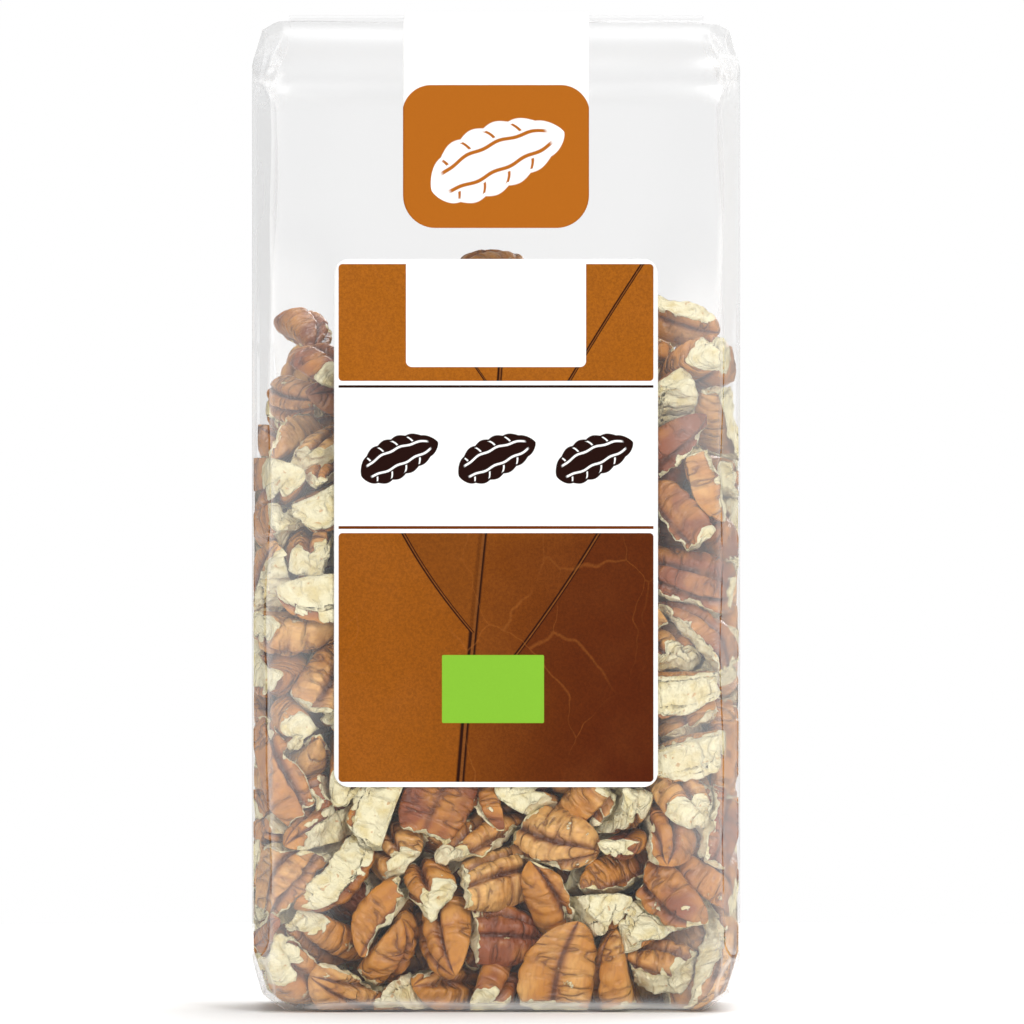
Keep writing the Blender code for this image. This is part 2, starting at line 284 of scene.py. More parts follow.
def named(tree, name, output="Fac"):
    # what newPiece stored under a name
    return Signal(node(tree, "Attribute", attribute_name=name).outputs[output])


def feed(shader, **signals):
    # baseColor=... goes to the socket "Base Color", and so on
    sockets = {"baseColor": "Base Color", "roughness": "Roughness", "alpha": "Alpha", "normal": "Normal"}
    for name, signal in signals.items():
        shader.id_data.links.new(signal.socket, shader.inputs[sockets[name]])


def makeWorld():
    # white where the camera sees it, and a soft pale room for everything else
    world = bpy.data.worlds.new("room")
    bpy.context.scene.world = world
    world.use_nodes = True
    tree = world.node_tree
    tree.nodes.clear()
    seen = node(tree, "Background", {"Color": (1, 1, 1, 1)})
    room = node(tree, "Background", {"Color": studio["roomColour"], "Strength": studio["room"]})
    byCamera = Signal(node(tree, "LightPath").outputs["Is Camera Ray"])
    mixed = node(tree, "MixShader", {0: byCamera, 1: Signal(room.outputs[0]), 2: Signal(seen.outputs[0])})
    tree.links.new(mixed.outputs[0], node(tree, "OutputWorld").inputs[0])


makeWorld()
print("studio: camera, room and", len(studio["lamps"]), "lamps")


def tint(red, green, blue, strength=1.0):
    # a colour given as a screen shows it, 0 to 255, as the share of light that it gives back
    light = []
    for value in (red, green, blue):
        share = value / 255
        share = share / 12.92 if share < 0.04045 else ((share + 0.055) / 1.055) ** 2.4
        light.append(share * strength)
    return (*light, 1.0)


kernel = {
    "length": (21 * mm, 28 * mm),
    "width": (12.0 * mm, 15.0 * mm),
    "height": (7.5 * mm, 9.5 * mm),
    "dome": 0.74,  # of the height, above the widest line
    "belly": 0.26,
    "domePoints": 0.68,  # share of the section's points that lie on the dome
    "groovePlace": 0.43,  # radians from the crown
    "grooveWidth": 0.13,
    "grooveDepth": 0.36,
    "bellyGrooveWidth": 0.3,
    "bellyGrooveDepth": 0.55,
    "lobes": 0.11,  # how much the ridges swell between their creases
    "lobePace": 10.5,
    "acrossBreaks": 0.9,  # share of the pieces
    "otherEndBreaks": 0.35,
    "longBreaks": 0.85,
    "peel": (0.9 * mm, 3.2 * mm),  # how far the skin is off beside a break, and over what length it varies
    "chips": 0.2,  # share of the settled pieces that are small chips
    "chipSize": (0.5, 0.72),
    "tip": (2.3, 0.62, 0.16),  # powers of the taper, and how much blunter one end is
    "bumps": ((0.045, 1.6), (0.018, 0.55)),  # height and size of slow bumps, as shares of the radius
    "crumble": ((0.9 * mm, 14 * mm), (0.55 * mm, 5 * mm), (0.36 * mm, 2.1 * mm)),  # depth and size
}


def breakPlanes(rng, length, width, creamUp=False):
    # the planes that a kernel is broken at: a point, and the direction of what is lost
    planes = []
    if rng.random() < kernel["acrossBreaks"]:
        lean = Vector((1, rng.uniform(-0.5, 0.5), rng.uniform(-0.35, 0.35)))
        planes.append((Vector((length * rng.uniform(0.10, 0.36), 0, 0)), lean.normalized()))
    if rng.random() < kernel["otherEndBreaks"]:
        lean = Vector((-1, rng.uniform(-0.5, 0.5), rng.uniform(-0.35, 0.35)))
        planes.append((Vector((-length * rng.uniform(0.25, 0.4), 0, 0)), lean.normalized()))
    if rng.random() < kernel["longBreaks"] or creamUp:
        tip = rng.uniform(0.5, 1.1) if creamUp else rng.uniform(-0.4, 0.3)
        lean = Vector((rng.uniform(-0.12, 0.12), 1, tip))
        planes.append((Vector((0, width * rng.uniform(-0.08, 0.26), 0)), lean.normalized()))
    return planes


def drawKernel(rng, creamUp=False, chips=0.0):
    size = rng.uniform(*kernel["chipSize"]) if rng.random() < chips else 1.0
    length, width, height = (size * rng.uniform(*kernel[side]) for side in ("length", "width", "height"))
    return {
        "seed": int(rng.integers(1, 1 << 30)),
        "length": length,
        "width": width,
        "height": height,
        "bow": rng.uniform(0.02, 0.1),
        "sideBow": rng.uniform(-0.12, 0.12),
        "twist": rng.uniform(-0.45, 0.45),
        "tone": rng.uniform(0, 1),
        "planes": breakPlanes(rng, length, width, creamUp),
    }


def sectionTurns(sides):
    # angles around the section, closer together on the dome than on the belly
    onDome = round(sides * kernel["domePoints"])
    dome = math.pi * np.arange(onDome) / onDome
    belly = math.pi + math.pi * np.arange(sides - onDome) / (sides - onDome)
    return np.concatenate([dome, belly])


def kernelSurface(spec, rings, sides):
    # Half a pecan kernel on a grid: along is -1 to 1 from tip to tip, and turn goes round the section.
    # The section is a dome above and a shallow belly below, less a groove at each side of the crown
    # and one along the belly, with creased lobes across the ridges. The tips taper as
    # (1 - |along|^2.3)^0.62 * (1 - 0.16 along). What lies past each break plane is pressed onto it.
    seed = spec["seed"]
    tipPower, tipRound, tipLean = kernel["tip"]
    sway = np.random.default_rng(seed).uniform(0, 2 * math.pi, 6)
    along = -np.cos(math.pi * (np.arange(rings) + 0.5) / rings)[:, None]
    along, turn = np.broadcast_arrays(along, sectionTurns(sides)[None, :])
    across, rise = np.cos(turn), np.sin(turn)
    unit = np.stack([along * 2.2, across, rise], axis=-1)
    taper = (1 - np.abs(along) ** tipPower) ** tipRound * (1 - tipLean * along)
    furrow = np.zeros(turn.shape)
    for side in (0, 1):
        place = kernel["groovePlace"] * (1 - 0.25 * along**2) * (2 * side - 1)
        centre = math.pi / 2 + place + 0.06 * np.sin(3.1 * along + sway[side])
        furrow += kernel["grooveDepth"] * np.exp(-(((turn - centre) / kernel["grooveWidth"]) ** 2))
    under = np.exp(-(((turn - 1.5 * math.pi) / kernel["bellyGrooveWidth"]) ** 2))
    furrow += kernel["bellyGrooveDepth"] * under * (1 - 0.5 * along**2)
    ridge = np.digitize(turn, [math.pi / 2 - kernel["groovePlace"], math.pi / 2 + kernel["groovePlace"]])
    pace = along * kernel["lobePace"] + sway[2 + ridge] + 1.3 * waves(unit, seed + 3, 1.9)
    crease = (1 - np.abs(np.sin(pace)) ** 0.55) * np.clip(rise * 2 + 0.6, 0, 1)
    radius = (1 - furrow) * (1 - kernel["lobes"] * crease)
    (slow, slowSize), (fine, fineSize) = kernel["bumps"]
    radius = radius * (1 + slow * waves(unit, seed + 1, slowSize) + fine * waves(unit, seed + 2, fineSize))
    share = np.where(rise > 0, kernel["dome"], kernel["belly"])
    x = along * spec["length"] / 2
    y = across * radius * taper * spec["width"] / 2
    z = rise * share * radius * taper * spec["height"]
    tips = np.array([[-spec["length"] / 2, 0, 0], [spec["length"] / 2, 0, 0]])
    place = np.concatenate([np.stack([x, y, z], axis=-1).reshape(-1, 3), tips])
    # how deep each point lies in a groove or a crease between lobes, which the material darkens as painted
    # shade
    deep = np.where(rise > 0, furrow / kernel["grooveDepth"], under**3)
    deep = np.append(np.clip(deep + 0.45 * crease**2, 0, 1).ravel(), [0.4, 0.4])
    points, broken = place, np.zeros(len(place))
    for number, (point, lost) in enumerate(spec["planes"]):
        points, broken = breakAt(points, broken, np.array(point), np.array(lost), seed + 10 * number)
    return bent(points, spec), {"place": place, "broken": broken, "furrow": deep}


def bent(points, spec):
    # twisted about its length, then bowed down and to a side with the square of the way along it
    share = points[:, 0] / spec["length"]
    turn = spec["twist"] * share
    y = points[:, 1] * np.cos(turn) - points[:, 2] * np.sin(turn)
    z = points[:, 1] * np.sin(turn) + points[:, 2] * np.cos(turn)
    far = 4 * spec["length"] * share**2
    return np.stack([points[:, 0], y + spec["sideBow"] * far, z - spec["bow"] * far], axis=-1)


def breakAt(points, broken, point, lost, seed):
    # what lies past the plane is pressed onto it, along its normal, down to a rough crumbled level
    past = (points - point) @ lost
    flat = points - past[:, None] * lost
    level = np.zeros(len(points))
    for number, (depth, size) in enumerate(kernel["crumble"]):
        level += depth * waves(flat, seed + 11 + number, size)
    points = np.where((past > level)[:, None], flat + level[:, None] * lost, points)
    reach, size = kernel["peel"]
    peeled = reach * np.clip(waves(points, seed + 15, size), 0, 1)
    edge = np.clip((past - level + peeled) / (0.5 * mm) + 0.5, 0, 1)
    return points, np.maximum(broken, edge)


kernelFinish = {
    "tan": tint(234, 181, 107),
    "amber": tint(203, 135, 50),
    "red": tint(146, 76, 36),
    # painted shade: the colour that the furrows and wrinkle valleys are darkened towards
    "furrow": tint(84, 36, 14),
    "cream": tint(250, 240, 200),
    "creamShade": tint(228, 206, 138),
    "skinRoughness": 0.36,
    "creamRoughness": 0.8,
    "relief": 0.4 * mm,
}


def makeKernelMaterial():
    # Skin: tan to amber to red by slow noise and each piece's tone, with fibres along it, dark along thin
    # cracks across the ridges, and painted shade in the furrows and the wrinkle valleys. Broken faces:
    # mottled, grainy cream.
    material, tree, shader, _ = newMaterial("kernelSkin")
    look = kernelFinish
    place = named(tree, "place", "Vector")
    furrow = named(tree, "furrow")
    patches = noise(place, 130, 2) * 1.1 + named(tree, "tone") * 0.75
    skin = blend(ramp(patches, 0.45, 0.95), look["tan"], look["amber"])
    skin = blend(ramp(patches, 1.0, 1.35), skin, look["red"])
    fibres = noise(scaled(place, (0.3, 1, 1)), 1500, 3, 0.6)
    skin = blend(ramp(fibres, 0.4, 0.75, 0.0, 0.35), skin, look["red"])
    wrinkle = abs(noise(scaled(place, (1.0, 0.36, 0.36)), 270, 2.5, 0.5) - 0.5)
    crack = ramp(wrinkle, 0.004, 0.03, 1.0, 0.0) * ramp(noise(place, 190, 2), 0.4, 0.55)
    valley = ramp(wrinkle, 0.0, 0.11, 1.0, 0.0)
    skin = blend(ramp(furrow, 0.02, 0.4, 0.0, 0.5), skin, look["red"])
    # painted shade: darker deep in the furrows and in the wrinkle valleys; the thin cracks are the skin's
    # own dark lines
    shadeAndCracks = ramp(furrow, 0.25, 0.9) * ramp(noise(place, 260, 3), 0.3, 0.6, 0.5, 1.0)
    shadeAndCracks = larger(larger(shadeAndCracks, crack * 0.75), valley * 0.25)
    skin = blend(shadeAndCracks * 0.92, skin, look["furrow"])
    grain = noise(place, 900, 4, 0.65)
    mottle = ramp(noise(place, 320, 3), 0.42, 0.7, 0.0, 0.75)
    specks = ramp(noise(place, 700, 1), 0.68, 0.74, 0.0, 0.6)
    cream = blend(specks, blend(mottle, look["cream"], look["creamShade"]), look["amber"])
    rubbed = ramp(noise(place, 190, 4, 0.65), 0.66, 0.69, 0.0, 0.9)
    bare = larger(ramp(named(tree, "broken") + (grain - 0.5) * 0.8, 0.42, 0.56), rubbed)
    gloss = ramp(bare, 0.0, 1.0, look["skinRoughness"], look["creamRoughness"])
    relief = fibres * 0.35 - crack * 0.5 - valley * 1.1 + grain * bare * 2.2
    feed(shader, baseColor=blend(bare, skin, cream), roughness=gloss + (fibres - 0.5) * 0.25,
         normal=bumped(relief, 0.9, look["relief"]))
    return material


packing = {
    "pieces": 615,
    "seed": 5,
    "frames": 150,
    "grow": 100.0,  # the rigid-body world is this much larger than life
    "push": 30.0,  # acceleration in that world
    "turnOver": 0.85,  # when the pieces stop being pushed up and settle down on the base
    "gap": 0.7 * mm,  # between the film's outside and the kernels
    "edgeCut": 4 * mm,  # how far the upright edges are cut off
    "wall": 30 * mm,
    "rings": 9,
    "sides": 10,
    "baseInsetX": 8 * mm,
    "baseInsetY": 4 * mm,
    "baseRise": 11 * mm,
    "firstRow": 92 * mm,  # the pieces start in rows of six, from here down
    "rowStep": 15 * mm,
    "columns": (-32 * mm, 0.0, 32 * mm),
    "lanes": (-14.5 * mm, 14.5 * mm),
    "slowStroke": 40 * mm,
    # what the heap stays under: places across and up, in mm
    "heap": ((-49, 140), (-44, 141), (-39, 149), (-25, 155), (0, 157),
             (24, 155), (37, 152), (44, 143), (49, 138)),
    "highest": 160 * mm,  # a piece whose middle ends above this is left out
    "friction": 0.3,
    "damping": (0.25, 0.4),  # of moving and of turning
    "margin": 0.01,
    "spread": 1.035,  # how much the settled pieces are drawn out sideways, to be pressed on the film
    "sink": 2 * mm,  # how much the lowest pieces are drawn down on to the base
    "sinkBelow": 70 * mm,
}


def rigidBody(collection, name, points, moves):
    # a convex body about its own middle, in the enlarged world
    points = np.asarray(points) * packing["grow"]
    middle = (points.min(axis=0) + points.max(axis=0)) / 2
    mesh = bpy.data.meshes.new(name)
    mesh.from_pydata((points - middle).tolist(), [], [])
    body = bpy.data.objects.new(name, mesh)
    body.location = middle
    collection.objects.link(body)
    settings = body.rigid_body
    settings.type = "ACTIVE" if moves else "PASSIVE"
    settings.collision_shape = "CONVEX_HULL"
    settings.friction = packing["friction"]
    settings.restitution = 0.0
    settings.use_margin = True
    settings.collision_margin = packing["margin"]
    settings.linear_damping, settings.angular_damping = packing["damping"]
    settings.use_deactivation = False
    return body


def standWalls(collection, start):
    # four walls and four cut edges that stand still
    x, y = halfWide - packing["gap"], halfDeep - packing["gap"]
    thick, cut = packing["wall"], packing["edgeCut"]
    plans = []
    for side in (-1, 1):
        plans.append([(side * a, b) for a in (x, x + thick) for b in (-y - thick, y + thick)])
        plans.append([(a, side * b) for a in (-x - thick, x + thick) for b in (y, y + thick)])
        for other in (-1, 1):
            far = (side * (x + thick), other * (y + thick))
            plans.append([(side * (x - cut), other * y), (side * x, other * (y - cut)), far])
    for plan in plans:
        upright = [(a, b, z) for a, b in plan for z in (2 * start, bagHigh.z)]
        rigidBody(collection, "wall", upright, False)


def hangCeiling(collection):
    y = halfDeep + packing["wall"]
    for (left, low), (right, high) in zip(packing["heap"], packing["heap"][1:]):
        ends = ((left * mm, low * mm), (right * mm, high * mm))
        block = [(x, a, z + up) for x, z in ends for a in (-y, y) for up in (0, packing["wall"])]
        rigidBody(collection, "ceiling", block, False)


def makeBase(collection, start):
    # the flat base and its rounded rims, three facets to a side, which all move together
    x, y = halfWide - packing["gap"], halfDeep - packing["gap"]
    thick = packing["wall"]
    slab = [(a, b, start + z) for a in (-x, x) for b in (-y, y) for z in (-thick, packing["gap"])]
    bodies = [rigidBody(collection, "base", slab, False)]
    turns = np.linspace(0, math.pi / 2, 4)
    bend = 1 - np.sin(turns)
    level = packing["baseRise"] * (1 - np.cos(turns)) + packing["gap"]
    for side in (-1, 1):
        for spot in range(3):
            for reach, length, turned in ((x, y, False), (y, x, True)):
                inset = packing["baseInsetY" if turned else "baseInsetX"] * bend
                rim = []
                for k in (spot, spot + 1):
                    for out in (0, thick):
                        for end in (-length, length):
                            for z in (level[k] - out, level[k]):
                                here = side * (reach - inset[k] + out)
                                rim.append((end, here, start + z) if turned else (here, end, start + z))
                bodies.append(rigidBody(collection, "rim", rim, False))
    for body in bodies:
        body.rigid_body.kinematic = True
    return bodies


def raiseBase(bodies, distance):
    # up in one quick stroke and one slow one
    frames = packing["frames"]
    slow = packing["slowStroke"] * packing["grow"]
    for body in bodies:
        for lift, share in ((0, 0.0), (0, 0.3), (distance - slow, 0.6), (slow, 0.83)):
            body.location.z += lift
            body.keyframe_insert("location", index=2, frame=1 + round(share * frames))
        for curve in body.animation_data.action.fcurves:
            for key in curve.keyframe_points:
                key.interpolation = "LINEAR"


def packKernels(specs):
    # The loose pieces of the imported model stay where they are. The base pushes the others up against
    # them, between the film's walls, and they then settle down on it. Returns the matrix of each.
    scene = bpy.context.scene
    collection = bpy.data.collections.new("packing")
    scene.collection.children.link(collection)
    bpy.ops.rigidbody.world_add()
    world = scene.rigidbody_world
    world.collection = collection
    world.substeps_per_frame = 6
    world.solver_iterations = 16
    world.point_cache.frame_end = packing["frames"] + 1
    scene.gravity = (0, 0, packing["push"])
    start = -packing["rowStep"] * len(specs) / 6 - 20 * mm
    standWalls(collection, start)
    hangCeiling(collection)
    raiseBase(makeBase(collection, start), -start * packing["grow"])
    for name, held in frame["nodes"].items():
        if name.startswith("pecan_piece"):
            rigidBody(collection, "held", [corner.co[:] for corner in held.data.vertices], False)
    rng = np.random.default_rng(packing["seed"])
    bodies, middles = [], []
    for number, spec in enumerate(specs):
        points, _ = kernelSurface(spec, packing["rings"], packing["sides"])
        middle = (points.min(axis=0) + points.max(axis=0)) / 2
        row, cell = divmod(number, 6)
        level = packing["firstRow"] - row * packing["rowStep"]
        place = (packing["columns"][cell % 3], packing["lanes"][cell // 3], level)
        body = rigidBody(collection, "loose", points - middle + place, True)
        roll, yaw = rng.uniform(-math.pi, math.pi, 2)
        body.rotation_euler = (roll, rng.uniform(-0.3, 0.3), yaw)
        bodies.append(body)
        middles.append(middle)
    for number in range(1, packing["frames"] + 1):
        if number == round(packing["turnOver"] * packing["frames"]):
            scene.gravity = (0, 0, -packing["push"])
        scene.frame_set(number)
    matrices = []
    for body, middle in zip(bodies, middles):
        matrix = body.matrix_world.copy()
        matrix.translation /= packing["grow"]
        matrices.append(matrix @ Matrix.Translation(-Vector(middle)))
    scene.frame_set(1)
    bpy.ops.rigidbody.world_remove()
    for body in list(collection.objects):
        bpy.data.objects.remove(body)
    bpy.data.collections.remove(collection)
    return matrices


def placedBy(points, matrix):
    turn = np.array(matrix.to_3x3())
    return points @ turn.T + np.array(matrix.translation)


def insideFilm(points):
    # points outside the film's rounded plan, its folds or its dents come back inside
    gap = film["clearance"] + filmDents(points)[0]
    power = film["edgePower"]
    z = np.maximum(points[:, 2], gap)
    near = np.clip(z / packing["baseRise"], 0, 1)
    bend = 1 - np.sqrt(1 - (1 - near) ** 2)
    wide = halfWide - gap - packing["baseInsetX"] * bend
    deep = halfDeep - gap - packing["baseInsetY"] * bend
    reach = (np.abs(points[:, 0] / wide) ** power + np.abs(points[:, 1] / deep) ** power) ** (1 / power)
    shrink = 1 / np.maximum(reach, 1)
    points = np.stack([points[:, 0] * shrink, points[:, 1] * shrink, z], axis=-1)
    flat = np.abs(points)
    for normal, offset, _ in foldPlanes():
        past = flat @ normal - offset + gap + film["foldClearance"]
        flat = flat - normal * np.maximum(past, 0)[:, None]
    return flat * np.where(points < 0, -1, 1)


# rings and sides by how well a kernel shows
detail = {"front": (58, 44), "outer": (36, 30), "inner": (12, 12)}
outerDepth = 5 * mm  # a kernel that comes this near to the film shows
outerHeight = 112 * mm  # and one that comes this high
groupTriangles = 150000


def detailOf(points):
    if points[:, 1].min() < -halfDeep + outerDepth:
        return "front"
    beside = halfWide - np.abs(points[:, 0]).max() < outerDepth
    behind = points[:, 1].max() > halfDeep - outerDepth
    onEnd = points[:, 2].min() < outerDepth or points[:, 2].max() > outerHeight
    return "outer" if beside or behind or onEnd else "inner"


def kernelGroup(name, members, level, material):
    # several kernels as one piece, each with its own square of the flat map
    rings, sides = detail[level]
    quads, fans = tubeFaces(rings, sides)
    corners = tubeCorners(rings, sides)
    count = rings * sides + 2
    across = math.ceil(math.sqrt(len(members)))
    points, allQuads, allFans, quadCorners, fanCorners = [], [], [], [], []
    attributes = {"place": [], "broken": [], "furrow": [], "tone": []}
    for number, (spec, matrix) in enumerate(members):
        shape, values = kernelSurface(spec, rings, sides)
        shape = placedBy(shape, matrix) * (packing["spread"], packing["spread"], 1)
        shape[:, 2] -= packing["sink"] * np.clip(1 - shape[:, 2] / packing["sinkBelow"], 0, 1)
        points.append(insideFilm(shape))
        values["tone"] = np.full(count, spec["tone"])
        values["place"] = values["place"] + np.array(spec["offset"])
        for label in attributes:
            attributes[label].append(values[label])
        allQuads.append(quads + number * count)
        allFans.append(fans + number * count)
        cell = np.array(divmod(number, across))
        square = (corners * 0.94 + 0.03 + cell) / across
        quadCorners.append(square[: 4 * len(quads)])
        fanCorners.append(square[4 * len(quads):])
    faces = np.concatenate(allQuads).tolist() + np.concatenate(allFans).tolist()
    attributes = {label: np.concatenate(values) for label, values in attributes.items()}
    corners = np.concatenate(quadCorners + fanCorners)
    return newPiece(name, np.concatenate(points), faces, material, attributes, corners)


def fillBag(material):
    # the settled kernels: packed by the rigid-body run, then drawn as finely as each one shows
    rng = np.random.default_rng(packing["seed"])
    specs = [drawKernel(rng, chips=kernel["chips"]) for _ in range(packing["pieces"])]
    for spec in specs:
        spec["offset"] = rng.uniform(-1, 1, 3)
    matrices = packKernels(specs)
    sorts = {level: [] for level in detail}
    tops = []
    for spec, matrix in zip(specs, matrices):
        x, y, z = matrix.translation
        if abs(x) > halfWide or abs(y) > halfDeep or not 0 < z < packing["highest"]:
            continue
        points = placedBy(kernelSurface(spec, packing["rings"], packing["sides"])[0], matrix)
        tops.append(points[:, 2].max())
        sorts[detailOf(points)].append((spec, matrix))
    print("packing: the pieces reach", round(max(tops) / mm), "mm;", {k: len(v) for k, v in sorts.items()})
    for level, members in sorts.items():
        members.sort(key=lambda member: member[1].translation.z)
        rings, sides = detail[level]
        most = groupTriangles // (2 * rings * sides)
        for start in range(0, len(members), most):
            name = f"kernels_{level}_{start // most + 1}"
            group = kernelGroup(name, members[start : start + most], level, material)
            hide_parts("pecan_fill")
            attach(group, "root")


def layLikeNode(points, held):
    # Turns and scales a kernel onto a packed loose piece: their longest, middle and shortest
    # directions and their sizes along them are made the same.
    target = np.array([corner.co[:] for corner in held.data.vertices])
    centre = target.mean(axis=0)
    _, axes = np.linalg.eigh(np.cov((target - centre).T))
    axes = axes[:, ::-1].copy()
    if axes[2, 2] < 0:
        axes[:, 2] *= -1
    axes[:, 0] = np.cross(axes[:, 1], axes[:, 2])
    reach = (target - centre) @ axes
    low, high = reach.min(axis=0), reach.max(axis=0)
    ownLow, ownHigh = points.min(axis=0), points.max(axis=0)
    scale = np.clip((high - low) / (ownHigh - ownLow), 0.7, 1.25)
    local = (points - (ownLow + ownHigh) / 2) * scale + (low + high) / 2
    return local @ axes.T + centre


def layTopPieces(material):
    # the loose pieces on the heap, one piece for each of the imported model's, in its place
    rng = np.random.default_rng(packing["seed"] + 1)
    tones = {"kernel_amber": (0.0, 0.5), "kernel_brown": (0.4, 0.9), "kernel_cream": (0.1, 0.6)}
    slots = sorted(tones)
    rings, sides = detail["front"]
    quads, fans = tubeFaces(rings, sides)
    faces = quads.tolist() + fans.tolist()
    corners = tubeCorners(rings, sides)
    for name, held in sorted(frame["nodes"].items()):
        if not name.startswith("pecan_piece"):
            continue
        number = int(name.split("_")[-1])
        slot = slots[number % 3]
        spec = drawKernel(rng, creamUp=slot == "kernel_cream")
        offset = rng.uniform(-1, 1, 3)
        points, attributes = kernelSurface(spec, rings, sides)
        attributes["place"] = attributes["place"] + offset
        attributes["tone"] = np.full(len(points), rng.uniform(*tones[slot]))
        points = insideFilm(layLikeNode(points, held))
        piece = newPiece(f"kernel_{number:02d}", points, faces, material, attributes, corners)
        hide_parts(name)
        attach(piece, "root")


film = {
    "sides": 360,
    "edgePower": 16.0,
    "cornerWeight": 4.2,  # how much closer together the points are at the upright edges
    "shoulderRise": 11 * mm,
    "shoulderInsetX": 7 * mm,
    "shoulderInsetY": 11 * mm,
    "top": 199.5 * mm,
    "crown": 0.5 * mm,
    "flapHalf": 0.3 * mm,
    "foldRadius": 1.1 * mm,
    "flapLength": 19.5 * mm,
    "ripple": 0.2 * mm,
    "crumple": 0.9 * mm,
    "crumpleSize": 7.5 * mm,
    "wander": 0.55 * mm,  # how much the folds waver
    "clearance": 0.3 * mm,  # between the film and the kernels
    "foldClearance": 0.45 * mm,  # and what is added to it at the folds
    "flapLift": 0.12 * mm,
    "rimTurns": 34,  # rings round the base's edge, and round the shoulder
    # the milky haze is partly the film's own and partly a painted reflection of the lamps
    "sheenHazeSide": 16 * mm,  # how far the haze reaches in from the upright edges
    "sheenHazeBase": 3.2 * mm,
    "sheenHazeTop": 165 * mm,  # it fades over the 25 mm below this
    "sheenHazeFade": 25 * mm,
}


# folds that cut the rounded film flat: a point of each in mm, the way it faces, and the painted shade of the
# facet past it
foldCuts = (
    ((45.3, 29.3, 0), (7.0, 3.7, 0), 1.0),
    ((49.0, 0, 189.0), (8.0, 0, 2.1), 0.5),
    ((46.9, 0, 197.0), (2.5, 0, 4.7), 0.15),
    ((44.6, 27.6, 193.0), (0.62, 0.48, 0.62), 0.3),
    ((46.6, 28.6, 188.0), (0.72, 0.62, 0.3), 0.7),
    ((41.6, 0, 0), (3.6, 0, -5.1), 0.5),
    ((49.0, 0, 10.6), (7.0, 0, -2.3), 0.3),
    ((45.4, 29.0, 8.0), (0.68, 0.66, -0.32), 0.7),
    ((0, 29.6, 3.0), (0, 3.0, -3.0), 0.6),
)


def foldPlanes():
    # each cut as an outward unit normal, the distance along it, and its painted shade
    planes = []
    for point, facing, paneShade in foldCuts:
        normal = np.array(facing) / np.linalg.norm(facing)
        planes.append((normal, float(normal @ np.array(point)) * mm, paneShade))
    return planes


def filmDents(places):
    # how far the film is pushed in near each place, and how strongly it is creased there, which the film's
    # material paints as a milky highlight
    x, y, z = np.moveaxis(places, -1, 0)
    edge = np.maximum(halfWide - np.abs(x), halfDeep - np.abs(y))
    wander = waves(places, 42, 9 * mm)
    u = np.where(halfDeep - np.abs(y) < halfWide - np.abs(x), x + 3 * y, y + 3 * x) + 1.2 * mm * wander
    v = z + 1.2 * mm * waves(places, 43, 9 * mm)
    level, fold = crumpled(u, v, film["crumpleSize"], 44)
    atTop = np.clip((z - 182 * mm) / (5 * mm), 0, 1)
    atTop = atTop * np.clip((film["top"] - 1.0 * mm - z) / (3 * mm), 0, 1)
    atBase = np.clip((17 * mm - z) / (5 * mm), 0, 1) * np.clip(z / (1.5 * mm), 0, 1)
    crush = np.exp(-((edge / (7.5 * mm)) ** 2)) * np.maximum(atTop, 0.6 * atBase)
    shoulderFold = np.exp(-(((z - 185.5 * mm - 0.2 * mm * wander) / (1.3 * mm)) ** 2))
    shoulderFold = shoulderFold * (np.abs(y) > halfDeep - 3 * mm)
    aboveNuts = np.clip((z - 152 * mm) / (10 * mm), 0, 1)
    ripple = film["ripple"] * (0.5 + 0.5 * waves(places, 46, 22 * mm)) * (1 + aboveNuts)
    ripple = ripple * np.clip((halfWide - np.abs(x)) / (8 * mm), 0, 1)
    inwards = crush * film["crumple"] * np.maximum(0.4 + 0.6 * level, 0) + ripple
    inwards = inwards + 0.3 * mm * shoulderFold
    line = np.exp(-((fold / (0.5 * mm)) ** 2)) * np.clip((7 * mm - edge) / (3 * mm), 0, 1)
    # painted highlight: the fold lines near the corners, and the pale band along the shoulder fold
    crease = 0.7 * line * np.minimum(1, 1.6 * crush) + 0.2 * shoulderFold
    return np.maximum(inwards, 0), np.clip(crease, 0, 1)


def planOutline(halfX, halfY, count):
    # a superellipse |x/a|^n + |y/b|^n = 1 with evenly spread points that crowd a little at its corners
    power = film["edgePower"]
    turn = np.linspace(0, 2 * math.pi, 4001)
    x = halfX * np.sign(np.cos(turn)) * np.abs(np.cos(turn)) ** (2 / power)
    y = halfY * np.sign(np.sin(turn)) * np.abs(np.sin(turn)) ** (2 / power)
    step = np.hypot(np.diff(x), np.diff(y))
    middleX, middleY = (x[1:] + x[:-1]) / 2, (y[1:] + y[:-1]) / 2
    fromX, fromY = (halfX - np.abs(middleX)) / (8 * mm), (halfY - np.abs(middleY)) / (8 * mm)
    near = np.exp(-(fromX**2 + fromY**2))
    run = np.concatenate([[0], np.cumsum(step * (1 + film["cornerWeight"] * near))])
    spots = run[-1] * np.arange(count) / count
    return np.interp(spots, run, x), np.interp(spots, run, y)


